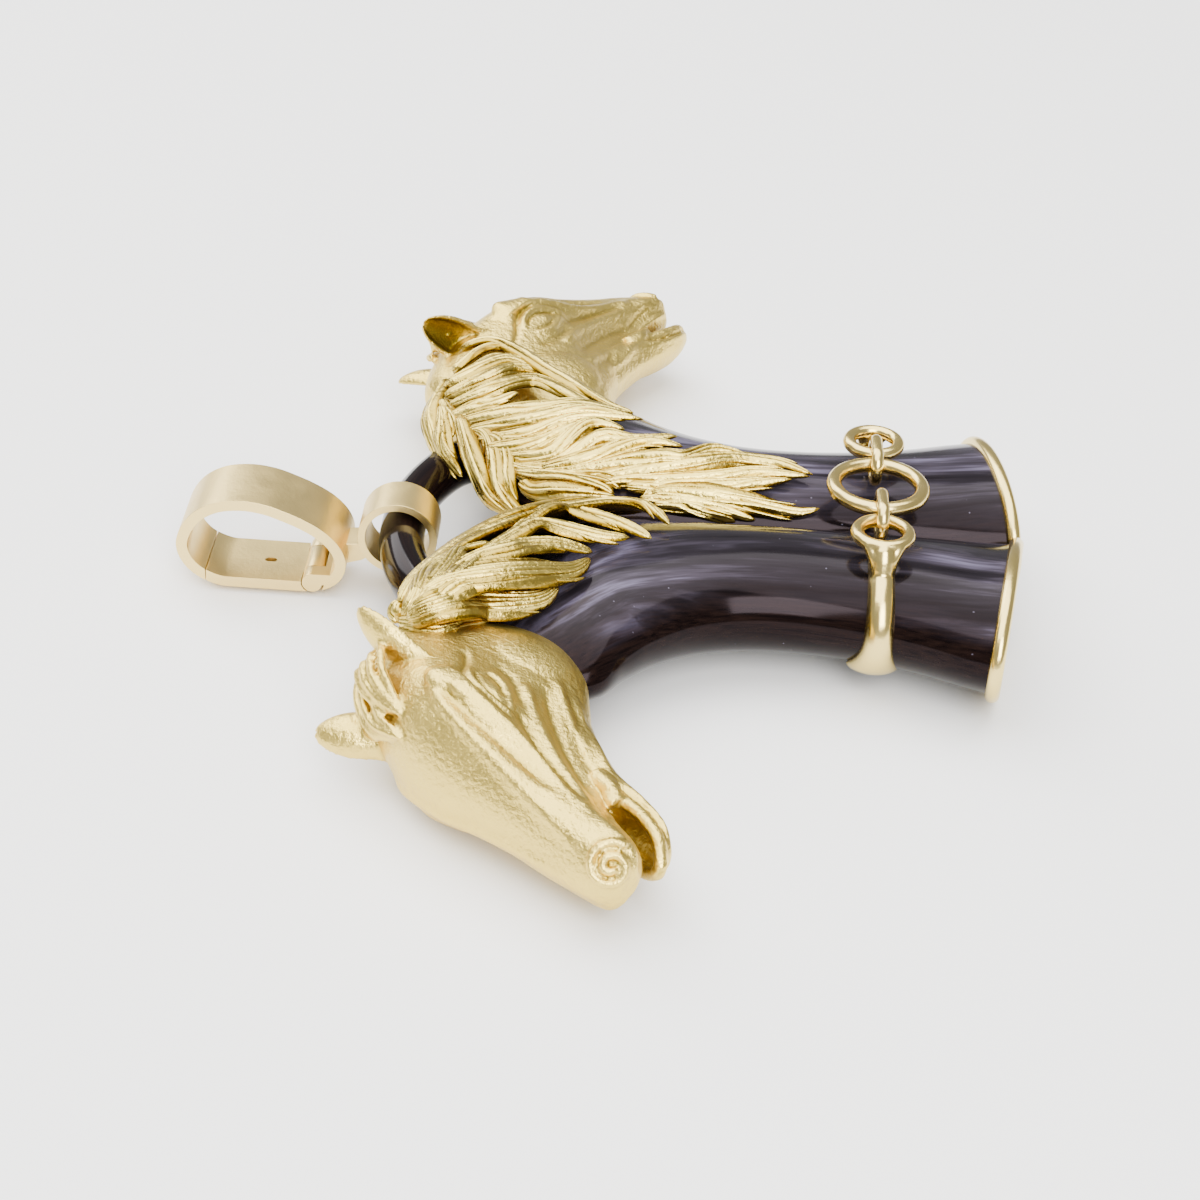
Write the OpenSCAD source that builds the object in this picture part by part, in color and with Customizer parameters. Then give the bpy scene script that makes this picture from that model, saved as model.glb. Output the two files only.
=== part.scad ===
// Horse head pendant: two horse heads back to back, lying on its back.
// X runs across the pendant, Y towards its top, Z up from the surface it lies on.
// Lengths are millimetres. Heads and manes are cast gold; necks and arch are polished stone.

/* [Stone necks] */
// Half height of a neck at its middle
neck_half_h = 3.6; // [3.2:0.1:4.0]
// Height of the necks' centre above the surface
neck_z = 4.75; // [4.6:0.05:5.0]
// Hairline left between pieces that touch on the real pendant
seam = 0.08; // [0.05:0.01:0.12]

/* [Stone arch] */
// Height of the arch's centre above the surface
arch_z = 4.4; // [4.2:0.1:4.8]
// Thickness of the arch in the plane of the pendant
arch_thick = 3.0; // [2.6:0.1:3.1]
// Thickness of the arch from front to back
arch_depth = 3.3; // [2.8:0.1:3.4]

/* [Rims] */
// Thickness of the gold rim round each base
rim_wire = 0.95; // [0.8:0.05:1.1]

/* [Snaffle] */
// Outer diameter of the ring in the middle
centre_ring_d = 6.8; // [6.2:0.1:7.2]
// Wire of the ring in the middle
centre_wire = 1.0; // [0.8:0.05:1.1]
// Height of the rings' plane above the surface
snaffle_z = 9.95; // [9.9:0.05:10.3]
// Place of the snaffle along the pendant
snaffle_y = -17.8; // [-19:0.1:-17]
// Outer diameter of the eye on each strap
eye_d = 4.2; // [3.9:0.1:4.4]
// Wire of the strap's eye
eye_wire = 0.9; // [0.8:0.05:1.0]
// Wire of the two oblong links
link_wire = 0.8; // [0.7:0.05:0.85]

/* [Heads] */
// Turn of each head about its own length, forehead towards the front
head_roll = 18; // [15:1:20]
// Height of the middle of each head at its back
head_z = 4.5; // [4.4:0.05:4.8]

/* [Bail] */
// Outer diameter of the band ring on the arch
band_ring_d = 5.3; // [5.2:0.1:5.6]
// Width of the band ring
band_ring_w = 3.2; // [2.8:0.1:3.6]
// Wall of the band ring
band_ring_wall = 0.5; // [0.45:0.05:0.55]
// Width of the bail's band
bail_w = 5.0; // [4.6:0.1:5.4]
// Thickness of the bail's band
bail_wall = 0.75; // [0.65:0.05:0.85]
// Diameter of the pin that the gate turns on
pin_d = 0.7; // [0.6:0.05:0.8]

/* [Hidden] */

// Middle of the pendant's length, and its lowest point, in the frame that it is drawn in
FRAME_Y = -0.25;
FRAME_Z = 0.03;

GOLD = "#dcc48a";
GOLD_DEEP = "#cfae62";
STONE = "#2b2632";

// Sweep helpers

function lerp(a, b, t) = a + (b - a) * t;
function unit(v) = v / norm(v);
function bezier(a, b, c, t) = lerp(lerp(a, b, t), lerp(b, c, t), t);

// A ring of points: centre, two half axes as vectors, number of points
function ellipse_ring(centre, side, up, n) =
    [for (i = [0:n - 1]) centre + cos(360 * i / n) * side + sin(360 * i / n) * up];

// Solid skin over rings that hold equally many points
module skin(rings, closed = false) {
    n = len(rings[0]);
    m = len(rings);
    last = closed ? m - 1 : m - 2;
    sides = [for (j = [0:last], i = [0:n - 1], k = [0, 1])
        let (a = j * n + i, b = j * n + (i + 1) % n,
             c = ((j + 1) % m) * n + (i + 1) % n, d = ((j + 1) % m) * n + i)
        k == 0 ? [a, b, c] : [a, c, d]];
    ends = closed ? [] : [[for (i = [n - 1:-1:0]) i], [for (i = [0:n - 1]) (m - 1) * n + i]];
    polyhedron(points = [for (r = rings) each r], faces = concat(sides, ends), convexity = 6);
}

// Everything is drawn on the right and mirrored for the left
module on_side(side) {
    if (side < 0) mirror([1, 0, 0]) children();
    else children();
}

// Moves a finished node so that the middle of the whole pendant is at the origin
module placed(side = 1) {
    translate([0, FRAME_Y, FRAME_Z]) on_side(side) children();
}

// Neck sections from the base to the head.
// Columns: crest x, crest y, throat x, throat y, half height as a share of neck_half_h, height offset
NECK = [
    [0.05, -27.4, 13.5, -25.0, 1.10, -0.10],
    [0.05, -25.0, 12.9, -23.0, 1.05, -0.05],
    [0.05, -21.5, 11.7, -20.0, 1.02, 0],
    [0.05, -17.4, 10.8, -16.5, 1.00, 0],
    [0.05, -13.0, 10.3, -12.6, 1.00, 0],
    [0.05, -9.0, 10.5, -9.3, 1.00, 0],
    [0.05, -5.0, 11.5, -6.4, 1.00, 0],
    [0.05, -1.2, 13.2, -4.0, 0.98, -0.05],
    [0.15, 2.6, 15.3, -2.1, 0.94, -0.15],
    [1.3, 5.3, 17.3, -0.7, 0.86, -0.30],
    [4.8, 7.7, 18.2, 1.6, 0.74, -0.45],
    [8.8, 9.7, 18.6, 4.6, 0.55, -0.55]
];
NECK_SIDES = 24;

function neck_ring(row, grow = 0, n = NECK_SIDES) =
    let (crest = [row[0], row[1]], throat = [row[2], row[3]],
         half = (throat - crest) / 2, mid = crest + half,
         out = half * (1 + grow / norm(half)))
    ellipse_ring([mid[0], mid[1], neck_z + row[5]], [out[0], out[1], 0],
                 [0, 0, neck_half_h * row[4] + grow], n);

module neck_form(grow = 0) {
    rings = [for (row = NECK) neck_ring(row, grow)];
    intersection() {
        skin(rings);
        translate([seam / 2 - (grow > 0 ? seam : 0), -40, -5]) cube([40, 80, 20]);
    }
}

module neck(side) {
    color(STONE) placed(side) neck_form();
}

// Arch: centre line on the right half, as x and y, mirrored on the left
ARCH = [[9.6, 10.1], [8.6, 11.0], [7.0, 11.9], [4.8, 12.75], [2.4, 13.3]];
ARCH_TOP_Y = 13.45;
ARCH_SIDES = 14;

function arch_points() = concat([for (p = ARCH) p], [[0, ARCH_TOP_Y]],
    [for (i = [len(ARCH) - 1:-1:0]) [-ARCH[i][0], ARCH[i][1]]]);

module arch_form(grow = 0) {
    pts = arch_points();
    m = len(pts);
    rings = [for (i = [0:m - 1])
        let (a = pts[max(i - 1, 0)], b = pts[min(i + 1, m - 1)], t = unit(b - a))
        ellipse_ring([pts[i][0], pts[i][1], arch_z], (arch_thick / 2 + grow) * [t[1], -t[0], 0],
                     [0, 0, arch_depth / 2 + grow], ARCH_SIDES)];
    skin(rings);
}

module stone_arch() {
    color(STONE) placed() difference() {
        arch_form();
        for (side = [-1, 1]) on_side(side) neck_form(seam);
    }
}

// Rim: a wire that follows the outline of the base
module rim_form() {
    n = 32;
    row = NECK[0];
    crest = [row[0], row[1]];
    throat = [row[2], row[3]];
    out = unit(throat - crest);
    back = [out[1], -out[0]];
    half_w = norm(throat - crest) / 2 - 0.02;
    mid = (crest + throat) / 2;
    half_h = neck_half_h * row[4];
    r = rim_wire / 2;
    rings = [for (i = [0:n - 1])
        let (a = 360 * i / n, c = cos(a), s = sin(a), nx = unit([c / half_w, s / half_h]),
             p = [mid[0] + out[0] * c * half_w, mid[1] + out[1] * c * half_w,
                  neck_z + row[5] + s * half_h])
        [for (k = [0:7]) let (b = 45 * k + 22.5)
            p + r * cos(b) * [nx[0] * out[0], nx[0] * out[1], nx[1]]
              + r * sin(b) * [back[0], back[1], 0]]];
    skin(rings, closed = true);
}

module rim(side) {
    color(GOLD) placed(side) difference() {
        rim_form();
        neck_form(seam);
        translate([-20 + seam / 2, -40, -5]) cube([20, 80, 20]);
    }
}

// Strap: half round bar from the eye over the outside of the neck, flared at its lower end.
// Columns: angle round the neck, half width along the neck, height over the stone
STRAP = [
    [84, 0.85, 0.75],
    [75, 0.85, 1.0],
    [50, 0.88, 1.05],
    [25, 0.92, 1.0],
    [0, 1.0, 0.95],
    [-18, 1.25, 0.9],
    [-32, 1.55, 0.85],
    [-44, 1.75, 0.6]
];
STRAP_CENTRE_X = 5.45;
STRAP_HALF_X = 5.5;
EYE_X = 6.0;
// Ends of the stem from the eye to the bar: x, z, width
STEM = [[7.35, 9.9, 1.1], [8.08, 8.63, 1.64]];

module strap_form() {
    rings = [for (row = STRAP)
        let (c = cos(row[0]), s = sin(row[0]), nrm = unit([c / STRAP_HALF_X, s / neck_half_h]),
             p = [STRAP_CENTRE_X + STRAP_HALF_X * c, neck_z + neck_half_h * s])
        [for (k = [0:7]) let (b = 180 * k / 7,
             w = k == 0 || k == 7 ? 0 : 1,
             lift = row[2] * (w * (0.35 + 0.65 * sin(b))) - 0.35 * (1 - w))
            [p[0] + nrm[0] * lift, snaffle_y - row[1] * cos(b), p[1] + nrm[1] * lift]]];
    skin(rings);
}

module facet_torus(d, wire, sides = 20, wire_sides = 6) {
    r = (d - wire) / 2;
    rings = [for (i = [0:sides - 1]) let (a = 360 * i / sides)
        [for (k = [0:wire_sides - 1]) let (b = 360 * k / wire_sides)
            [(r + wire / 2 * cos(b)) * cos(a), (r + wire / 2 * cos(b)) * sin(a),
             wire / 2 * sin(b)]]];
    skin(rings, closed = true);
}

module strap(side) {
    color(GOLD) placed(side) difference() {
        union() {
            strap_form();
            translate([EYE_X, snaffle_y, snaffle_z]) facet_torus(eye_d, eye_wire);
            // Stem that joins the eye to the bar
            hull() for (p = STEM)
                translate([p[0], snaffle_y, p[1]]) cube([0.5, p[2], 0.7], center = true);
        }
        neck_form(seam);
    }
}

module centre_ring() {
    color(GOLD) placed() translate([0, snaffle_y, snaffle_z]) rotate_extrude($fn = 48)
        translate([(centre_ring_d - centre_wire) / 2, 0]) circle(d = centre_wire, $fn = 24);
}

// Oblong link, upright, through the eye and the ring
module oblong_link(side) {
    eye_in = EYE_X - eye_d / 2 + eye_wire;
    ring_in = centre_ring_d / 2 - centre_wire;
    gap = 0.1;
    r = centre_wire / 2 + gap + link_wire / 2;
    x1 = ring_in - gap - link_wire / 2 + r;
    x2 = eye_in + gap + link_wire / 2 - r;
    color(GOLD) placed(side) translate([0, snaffle_y, snaffle_z]) {
        for (e = [[x1, 90], [x2, -90]])
            translate([e[0], 0, 0]) rotate([90, 0, 0]) rotate([0, 0, e[1]])
                rotate_extrude(angle = 180, $fn = 32)
                    translate([r, 0]) circle(d = link_wire, $fn = 20);
        for (s = [-1, 1]) translate([min(x1, x2), 0, s * r]) rotate([0, 90, 0])
            cylinder(d = link_wire, h = abs(x2 - x1), $fn = 20);
    }
}

// Head, drawn along X from the poll to the lips, forehead towards Y, right side towards Z.
// Columns: place, top, bottom, half width at the top, in the middle and at the bottom
HEAD = [
    [-1.0, 3.7, -4.8, 1.9, 2.4, 1.9],
    [1.0, 5.0, -6.5, 2.8, 3.4, 2.6],
    [4.0, 6.0, -7.3, 3.5, 3.9, 3.2],
    [6.9, 6.5, -7.0, 4.0, 4.0, 3.2],
    [8.9, 6.4, -6.0, 4.2, 3.9, 2.9],
    [11.4, 5.9, -4.5, 3.7, 3.4, 2.4],
    [13.7, 5.1, -3.3, 3.0, 2.9, 2.0],
    [16.5, 4.2, -1.9, 2.5, 2.5, 1.7],
    [18.9, 3.6, -0.9, 2.2, 2.4, 1.6],
    [21.0, 3.4, -0.6, 2.0, 2.5, 1.6],
    [22.4, 2.7, -0.3, 1.6, 2.1, 1.3],
    [23.1, 1.7, 0.4, 0.7, 1.2, 0.7]
];
// Lower jaw, same columns
JAW = [
    [9.8, -1.0, -5.3, 1.6, 2.2, 1.6],
    [12.7, -0.9, -4.3, 1.9, 2.3, 1.5],
    [15.7, -1.3, -3.7, 1.7, 1.9, 1.2],
    [18.3, -2.1, -3.5, 1.4, 1.7, 1.1],
    [20.4, -2.3, -3.3, 1.3, 1.5, 0.9],
    [21.8, -2.1, -2.8, 0.8, 1.0, 0.6]
];
// The jaw leans back to the level by this share of its depth
JAW_LEAN = 0.22;

function head_ring(row, grow = 0) =
    let (t = row[1] + grow, b = row[2] - grow, h = t - b)
    [for (p = [[t, 0], [t - 0.05 * h, -0.62 * row[3]], [t - 0.18 * h, -row[3]],
               [lerp(t, b, 0.5), -row[4]], [b + 0.2 * h, -row[5]], [b + 0.05 * h, -0.6 * row[5]],
               [b, 0], [b + 0.05 * h, 0.6 * row[5]], [b + 0.2 * h, row[5]],
               [lerp(t, b, 0.5), row[4]], [t - 0.18 * h, row[3]], [t - 0.05 * h, 0.62 * row[3]]])
        [row[0], p[0], p[1] + sign(p[1]) * grow - JAW_LEAN * min(p[0], 0)]];

HEAD_AT = [16.6, 10.4];
HEAD_TURN = -37.5;
HEAD_DIP = 3.2;

module head_place() {
    translate([HEAD_AT[0], HEAD_AT[1], head_z]) rotate([0, HEAD_DIP, 0])
        rotate([0, 0, HEAD_TURN]) rotate([head_roll, 0, 0]) children();
}

module head_core(grow = 0) {
    skin([for (row = HEAD) head_ring(row, grow)]);
    skin([for (row = JAW) head_ring(row, grow)]);
}

module blob(at, size) {
    translate(at) scale(size) sphere(r = 1, $fn = 8);
}

// Base and tip of the ear on the upper side, then of the one on the lower side
EAR_UPPER = [[2.5, 3.6, 2.8], [-0.7, 5.8, 4.3]];
EAR_LOWER = [[3.4, 4.9, -2.5], [1.1, 7.7, -3.45]];

// Ear: a pointed leaf
module ear(s, grow = 0) {
    row = s > 0 ? EAR_UPPER : EAR_LOWER;
    base = row[0];
    tip = row[1];
    for (k = [0:2]) let (a = k / 3, b = (k + 1) / 3, wide = [1.0, 1.25, 1.0, 0.2])
        hull() {
            blob(lerp(base, tip, a), [0.72 + grow, 0.72 + grow, 0.95 * wide[k] + grow]);
            blob(lerp(base, tip, b), [0.57 + grow, 0.57 + grow, 0.95 * wide[k + 1] + grow]);
        }
}

module head_details() {
    for (s = [-1, 1]) {
        ear(s);
        // Brow over the eye
        hull() {
            blob([6.4, 4.7, 3.4 * s], [0.9, 0.7, 0.7]);
            blob([9.8, 4.1, 3.4 * s], [0.9, 0.6, 0.6]);
        }
        // Eye
        blob([8.8, 3.1, 3.4 * s], [1.1, 0.8, 0.6]);
        // Nostril
        blob([21.3, 1.9, 2.0 * s], [1.0, 0.9, 0.6]);
        // Cheek
        hull() {
            blob([4.6, -3.6, 2.9 * s + 0.6], [2.0, 2.2, 1.0]);
            blob([7.0, -3.0, 2.8 * s + 0.5], [2.0, 2.0, 1.0]);
        }
    }
    // Forelock
    for (k = [0:2]) hull() {
        blob([1.2 + 1.2 * k, 5.1 + 0.4 * k, 0.5 - 0.5 * k], [1.0, 0.7, 0.9]);
        blob([3.0 + 1.2 * k, 5.8 + 0.2 * k, -0.5 + 0.6 * k], [0.8, 0.5, 0.6]);
    }
}

module head(side) {
    color(GOLD) placed(side) difference() {
        head_place() {
            head_core();
            head_details();
        }
        neck_form(seam);
    }
}

// Mane locks: root, middle and tip of each lock, then its width and thickness
MANE_RIGHT = [
    [[15.4, 11.6, 8.0], [14.6, 8.6, 9.4], [13.6, 5.6, 8.9], 2.6, 1.5],
    [[14.2, 12.0, 7.6], [11.6, 8.4, 9.8], [11.4, 3.0, 9.0], 3.0, 1.6],
    [[12.6, 12.2, 7.0], [9.6, 8.0, 10.0], [9.4, -1.5, 9.1], 3.0, 1.6],
    [[11.2, 12.3, 6.4], [8.0, 7.4, 9.9], [7.9, -4.6, 9.0], 3.0, 1.6],
    [[9.8, 12.0, 6.0], [6.6, 6.0, 9.9], [6.4, -6.3, 9.0], 2.8, 1.5],
    [[8.4, 11.4, 5.6], [4.8, 5.0, 9.7], [5.1, -9.7, 9.0], 2.8, 1.5],
    [[7.4, 10.6, 5.2], [3.2, 3.4, 9.6], [3.4, -13.8, 8.8], 2.4, 1.4],
    [[6.6, 9.8, 5.0], [2.2, 4.0, 8.4], [4.1, -7.2, 8.8], 2.2, 1.3],
    [[5.8, 9.0, 4.6], [1.5, 3.8, 7.9], [1.1, -14.1, 7.7], 2.2, 1.3],
    [[4.8, 8.0, 5.2], [1.8, 3.2, 7.6], [1.3, -9.9, 7.6], 2.0, 1.4],
    [[4.0, 7.2, 5.2], [1.6, 3.6, 6.9], [1.4, -4.0, 7.3], 2.0, 1.5],
    [[9.4, 11.6, 5.0], [6.6, 10.2, 5.4], [2.6, 6.2, 5.0], 2.2, 1.4],
    [[11.6, 12.4, 5.6], [9.4, 11.9, 5.2], [5.4, 9.9, 5.6], 1.8, 1.3]
];
MANE_LEFT = [
    [[15.6, 11.4, 7.9], [16.4, 8.8, 9.1], [16.3, 6.4, 8.5], 2.4, 1.5],
    [[14.4, 12.0, 7.5], [14.2, 8.6, 9.7], [14.6, 4.6, 8.8], 2.6, 1.5],
    [[12.9, 12.2, 7.0], [12.2, 8.0, 9.9], [12.4, 2.6, 8.8], 2.8, 1.6],
    [[11.4, 12.2, 6.5], [10.0, 7.6, 9.9], [10.4, 1.6, 9.0], 2.8, 1.6],
    [[10.0, 12.0, 6.1], [8.0, 6.6, 9.9], [8.2, 0.5, 9.0], 2.8, 1.5],
    [[8.6, 11.4, 5.7], [5.8, 5.4, 9.5], [6.2, -1.2, 8.9], 2.6, 1.5],
    [[7.6, 10.6, 5.3], [4.0, 4.4, 9.0], [4.8, -3.2, 8.7], 2.6, 1.4],
    [[6.4, 9.6, 4.9], [2.4, 3.8, 8.0], [1.8, -4.3, 7.9], 2.0, 1.3],
    [[5.2, 8.4, 5.2], [1.8, 4.2, 7.2], [1.5, 0.4, 7.4], 2.0, 1.4],
    [[4.0, 7.2, 5.0], [1.6, 4.8, 6.3], [1.4, 2.4, 6.8], 1.8, 1.3]
];
LOCK_RINGS = 6;
// Hairline round the mane, where it meets the stone and the head
MANE_GAP = 0.095;
// Start, bend and end of the swelling that the locks grow from, and its half sizes
MANE_ROOT = [[15.2, 10.9, 7.0], [10.0, 12.6, 6.4], [3.6, 6.8, 5.2]];
MANE_ROOT_SIZE = [1.38, 1.3, 1.6];

module lock(row) {
    rings = [for (i = [0:LOCK_RINGS])
        let (t = i / LOCK_RINGS, p = bezier(row[0], row[1], row[2], t),
             q = bezier(row[0], row[1], row[2], min(t + 0.05, 1.04)),
             fwd = unit(q - p), side = unit(cross(fwd, [-0.25, 0.1, 1])), up = cross(side, fwd),
             w = row[3] / 2 * (0.75 + 0.5 * sin(180 * t)) * (1 - 0.93 * pow(t, 2.2)),
             h = row[4] / 2 * (1 - 0.8 * pow(t, 3)))
        ellipse_ring(p, side * w, up * h, 6)];
    skin(rings);
}

module mane(side, table) {
    color(GOLD_DEEP) placed(side) difference() {
        union() {
            for (row = table) lock(row);
            // Root of the mane along the crest
            for (k = [0:7]) let (a = k / 8, b = (k + 1) / 8,
                    p = bezier(MANE_ROOT[0], MANE_ROOT[1], MANE_ROOT[2], a),
                    q = bezier(MANE_ROOT[0], MANE_ROOT[1], MANE_ROOT[2], b))
                hull() {
                    blob(p, MANE_ROOT_SIZE);
                    blob(q, MANE_ROOT_SIZE);
                }
        }
        neck_form(MANE_GAP);
        arch_form(MANE_GAP);
        head_place() head_core(MANE_GAP);
        head_place() for (s = [-1, 1]) ear(s, MANE_GAP);
        translate([-20 + seam, -40, -5]) cube([20, 80, 30]);
    }
}

// Centre of the band ring on the arch, as Y and Z
BAIL_AT = [13.7, 4.4];
// Egg-shaped side outline of the bail, points in Y and Z that a smooth curve joins
BAIL_EGG = [
    [28.35, 3.4], [28.0, 4.75], [27.1, 6.0], [25.7, 6.82], [24.0, 7.1], [22.4, 6.93], [21.0, 6.47],
    [19.6, 5.85], [18.4, 5.1], [17.5, 4.15], [17.05, 3.1], [17.1, 2.1], [17.6, 1.2], [18.6, 0.6],
    [20.0, 0.43], [22.0, 0.43], [24.2, 0.43], [25.6, 0.5], [27.0, 1.1], [27.95, 2.1]
];
EGG_STEPS = 6;
GATE_HINGE = [19.3, 1.1];
GATE_LATCH_Y = 26.4;
KNUCKLE_D = 1.35;
KNUCKLE_W = 2.6;
PIN_PLAY = 0.05;
// Room round the knuckles for the gate's corners as it turns
SWEEP_PLAY = 0.14;
// Oval slot in the gate: place along the pendant, width and length
SLOT_Y = 22.4;
SLOT_W = 0.5;
SLOT_L = 0.8;

// Point of a closed curve through all the given points, which passes one of them at each whole t
function on_curve(points, t) =
    let (n = len(points), k = floor(t), u = t - k,
         a = points[(k + n - 1) % n], b = points[k % n], c = points[(k + 1) % n], d = points[(k + 2) % n])
    (2 * b + (c - a) * u + (2 * a - 5 * b + 4 * c - d) * u * u
     + (3 * b - a - 3 * c + d) * u * u * u) / 2;

module bail_outline(inset = 0) {
    polygon([for (i = [0:len(BAIL_EGG) * EGG_STEPS - 1])
        let (t = i / EGG_STEPS, n = len(BAIL_EGG),
             ahead = unit(on_curve(BAIL_EGG, t + 0.1) - on_curve(BAIL_EGG, t + n - 0.1)))
        on_curve(BAIL_EGG, t) + inset * [-ahead[1], ahead[0]]]);
}

module bail_band() {
    rotate([90, 0, 90]) linear_extrude(bail_w, center = true) difference() {
        bail_outline();
        bail_outline(bail_wall);
    }
}

// The stretch of the band that is the gate, from the hinge to the latch
module gate_cut(grow = 0) {
    translate([-10, GATE_HINGE[0] - grow, -1])
        cube([20, GATE_LATCH_Y - GATE_HINGE[0] + 2 * grow, 2.9]);
}

module across(at, d, w) {
    translate([0, at[0], at[1]]) rotate([0, 90, 0]) cylinder(d = d, h = w, center = true, $fn = 32);
}

module bail() {
    color(GOLD) placed() {
        difference() {
            union() {
                difference() {
                    bail_band();
                    gate_cut(0.06);
                    across(GATE_HINGE, KNUCKLE_D + 2 * SWEEP_PLAY, bail_w + 1);
                }
                across(GATE_HINGE, KNUCKLE_D, bail_w);
                // Webs that carry the outer knuckles on the inside of the band
                translate([-bail_w / 2, GATE_HINGE[0] - 1.3, GATE_HINGE[1] - 0.12])
                    cube([bail_w, 1.3, 0.12 + KNUCKLE_D / 2]);
                // Solder knob between the band and the ring
                hull() {
                    across([16.4, 2.9], 1.3, 2.2);
                    across([17.4, 2.7], 1.5, 2.2);
                }
                across(BAIL_AT, band_ring_d, band_ring_w);
            }
            across(BAIL_AT, band_ring_d - 2 * band_ring_wall, 9);
            translate([-KNUCKLE_W / 2 - 0.06, GATE_HINGE[0] - 0.81, GATE_HINGE[1] - 1])
                cube([KNUCKLE_W + 0.12, 2, 2]);
        }
        across(GATE_HINGE, pin_d, KNUCKLE_W + 0.6);
    }
}

module gate_slot() {
    straight = SLOT_L - SLOT_W;
    translate([0, SLOT_Y, -1]) {
        for (s = [-0.5, 0.5]) translate([0, s * straight, 0]) cylinder(d = SLOT_W, h = 3, $fn = 24);
        translate([-SLOT_W / 2, -straight / 2, 0]) cube([SLOT_W, straight, 3]);
    }
}

// Gate: knuckle on the pin, and a small oval slot in the middle
module bail_gate() {
    color(GOLD) placed() difference() {
        union() {
            intersection() {
                bail_band();
                gate_cut();
            }
            across(GATE_HINGE, KNUCKLE_D, KNUCKLE_W);
        }
        across(GATE_HINGE, pin_d + 2 * PIN_PLAY, 9);
        for (s = [-1, 1]) translate([s * ((KNUCKLE_W + 4) / 2 + 0.06), 0, 0])
            across(GATE_HINGE, KNUCKLE_D + 0.14, 4);
        gate_slot();
    }
}

neck(-1);  // neck_left
neck(1);  // neck_right
stone_arch();
rim(-1);  // rim_left
rim(1);  // rim_right
strap(-1);  // strap_left
strap(1);  // strap_right
centre_ring();
oblong_link(-1);  // link_left
oblong_link(1);  // link_right
head(-1);  // head_left
head(1);  // head_right
mane(-1, MANE_LEFT);  // mane_left
mane(1, MANE_RIGHT);  // mane_right
bail();
bail_gate();
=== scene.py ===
# %% [markdown]
# # A pendant of two horse heads, in gold and stone
# The pendant lies on its back on a pale table. Its sizes and its moving parts come from a packed
# model, which is loaded first and never changed. Each step below makes one piece or one finish,
# says what it is on the real pendant, and prints what it made.

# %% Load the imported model
import math
import bmesh
import bpy
import numpy as np
from mathutils import Matrix, Vector


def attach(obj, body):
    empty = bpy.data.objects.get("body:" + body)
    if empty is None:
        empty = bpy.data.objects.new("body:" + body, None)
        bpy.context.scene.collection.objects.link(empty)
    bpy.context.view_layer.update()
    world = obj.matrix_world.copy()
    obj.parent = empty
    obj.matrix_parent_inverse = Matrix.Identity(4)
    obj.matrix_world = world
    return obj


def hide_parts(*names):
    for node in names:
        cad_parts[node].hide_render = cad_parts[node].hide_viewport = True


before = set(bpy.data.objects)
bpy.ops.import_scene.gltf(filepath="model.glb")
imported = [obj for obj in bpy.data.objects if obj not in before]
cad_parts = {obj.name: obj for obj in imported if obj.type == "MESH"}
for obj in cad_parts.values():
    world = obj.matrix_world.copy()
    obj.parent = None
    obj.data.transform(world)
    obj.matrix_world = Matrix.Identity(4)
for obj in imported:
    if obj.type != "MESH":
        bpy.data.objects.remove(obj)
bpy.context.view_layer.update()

# %% [markdown]
# ## One drawing for both sides
# The pendant is the same left and right, apart from its manes. So every table below is drawn on
# the right, in millimetres, and a piece for the left is mirrored. A mirror turns a mesh inside
# out. The faces could be listed the other way round for the left, but Blender can work out which
# way is out for any closed mesh, so that is done each time, once the points are in place.

# %% Turn points and faces into a mesh
MM = 0.001
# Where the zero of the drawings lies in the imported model, in millimetres
DRAWING_AT = np.array([0.0, -0.25, 0.03])
# Sign of x on each side, and its name
SIDES = ((-1, "left"), (1, "right"))


def unit(v):
    return v / np.maximum(np.linalg.norm(v, axis=-1, keepdims=True), 1e-9)


def point_outwards(made):
    work = bmesh.new()
    work.from_mesh(made.data)
    bmesh.ops.recalc_face_normals(work, faces=work.faces)
    for face in work.faces:
        face.smooth = True
    work.to_mesh(made.data)
    work.free()


def mesh_object(name, points, faces, side=1):
    points = (np.asarray(points, float) * [side, 1, 1] + DRAWING_AT) * MM
    mesh = bpy.data.meshes.new(name)
    mesh.from_pydata(points.tolist(), [], [list(f) for f in faces])
    made = bpy.data.objects.new(name, mesh)
    bpy.context.scene.collection.objects.link(made)
    point_outwards(made)
    return made


print("drawings start at", DRAWING_AT, "mm")

# %% [markdown]
# ## Finish a piece
# A finished piece gets its material, rides on a body of the imported model, and replaces the
# plain solid that stood in for it.

# %% Give a piece its material and its place in the model
def finish_piece(made, body, slot, material, *nodes):
    made.data.materials.clear()
    made.data.materials.append(material)
    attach(made, body)
    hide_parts(*nodes)
    print(f"{made.name}: {len(made.data.polygons)} faces")


print("packed solids to replace:", len(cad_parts))

# %% [markdown]
# ## Smooth curves through a few measured rows
# A shape such as a neck is given by a short table of cross-sections. A Catmull-Rom curve passes
# through every row, so a table of ten rows becomes a smooth surface without hand-placed points
# in between.

# %% Draw a curve through rows
def smooth_rows(rows, steps, closed=False):
    rows = np.asarray(rows, float)
    if closed:
        padded = np.concatenate([rows[-1:], rows, rows[:2]])
    else:
        padded = np.concatenate([2 * rows[:1] - rows[1:2], rows, 2 * rows[-1:] - rows[-2:-1]])
    t = (np.arange(steps) / steps).reshape((-1,) + (1,) * (rows.ndim - 1))
    out = []
    for a, b, c, d in zip(padded, padded[1:], padded[2:], padded[3:]):
        out.append(0.5 * (2 * b + (c - a) * t + (2 * a - 5 * b + 4 * c - d) * t ** 2
                          + (3 * b - a - 3 * c + d) * t ** 3))
    out = np.concatenate(out)
    return out if closed else np.concatenate([out, rows[-1:]])


print("four rows in steps of 8 make", len(smooth_rows(np.eye(4), steps=8)), "rows")

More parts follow.
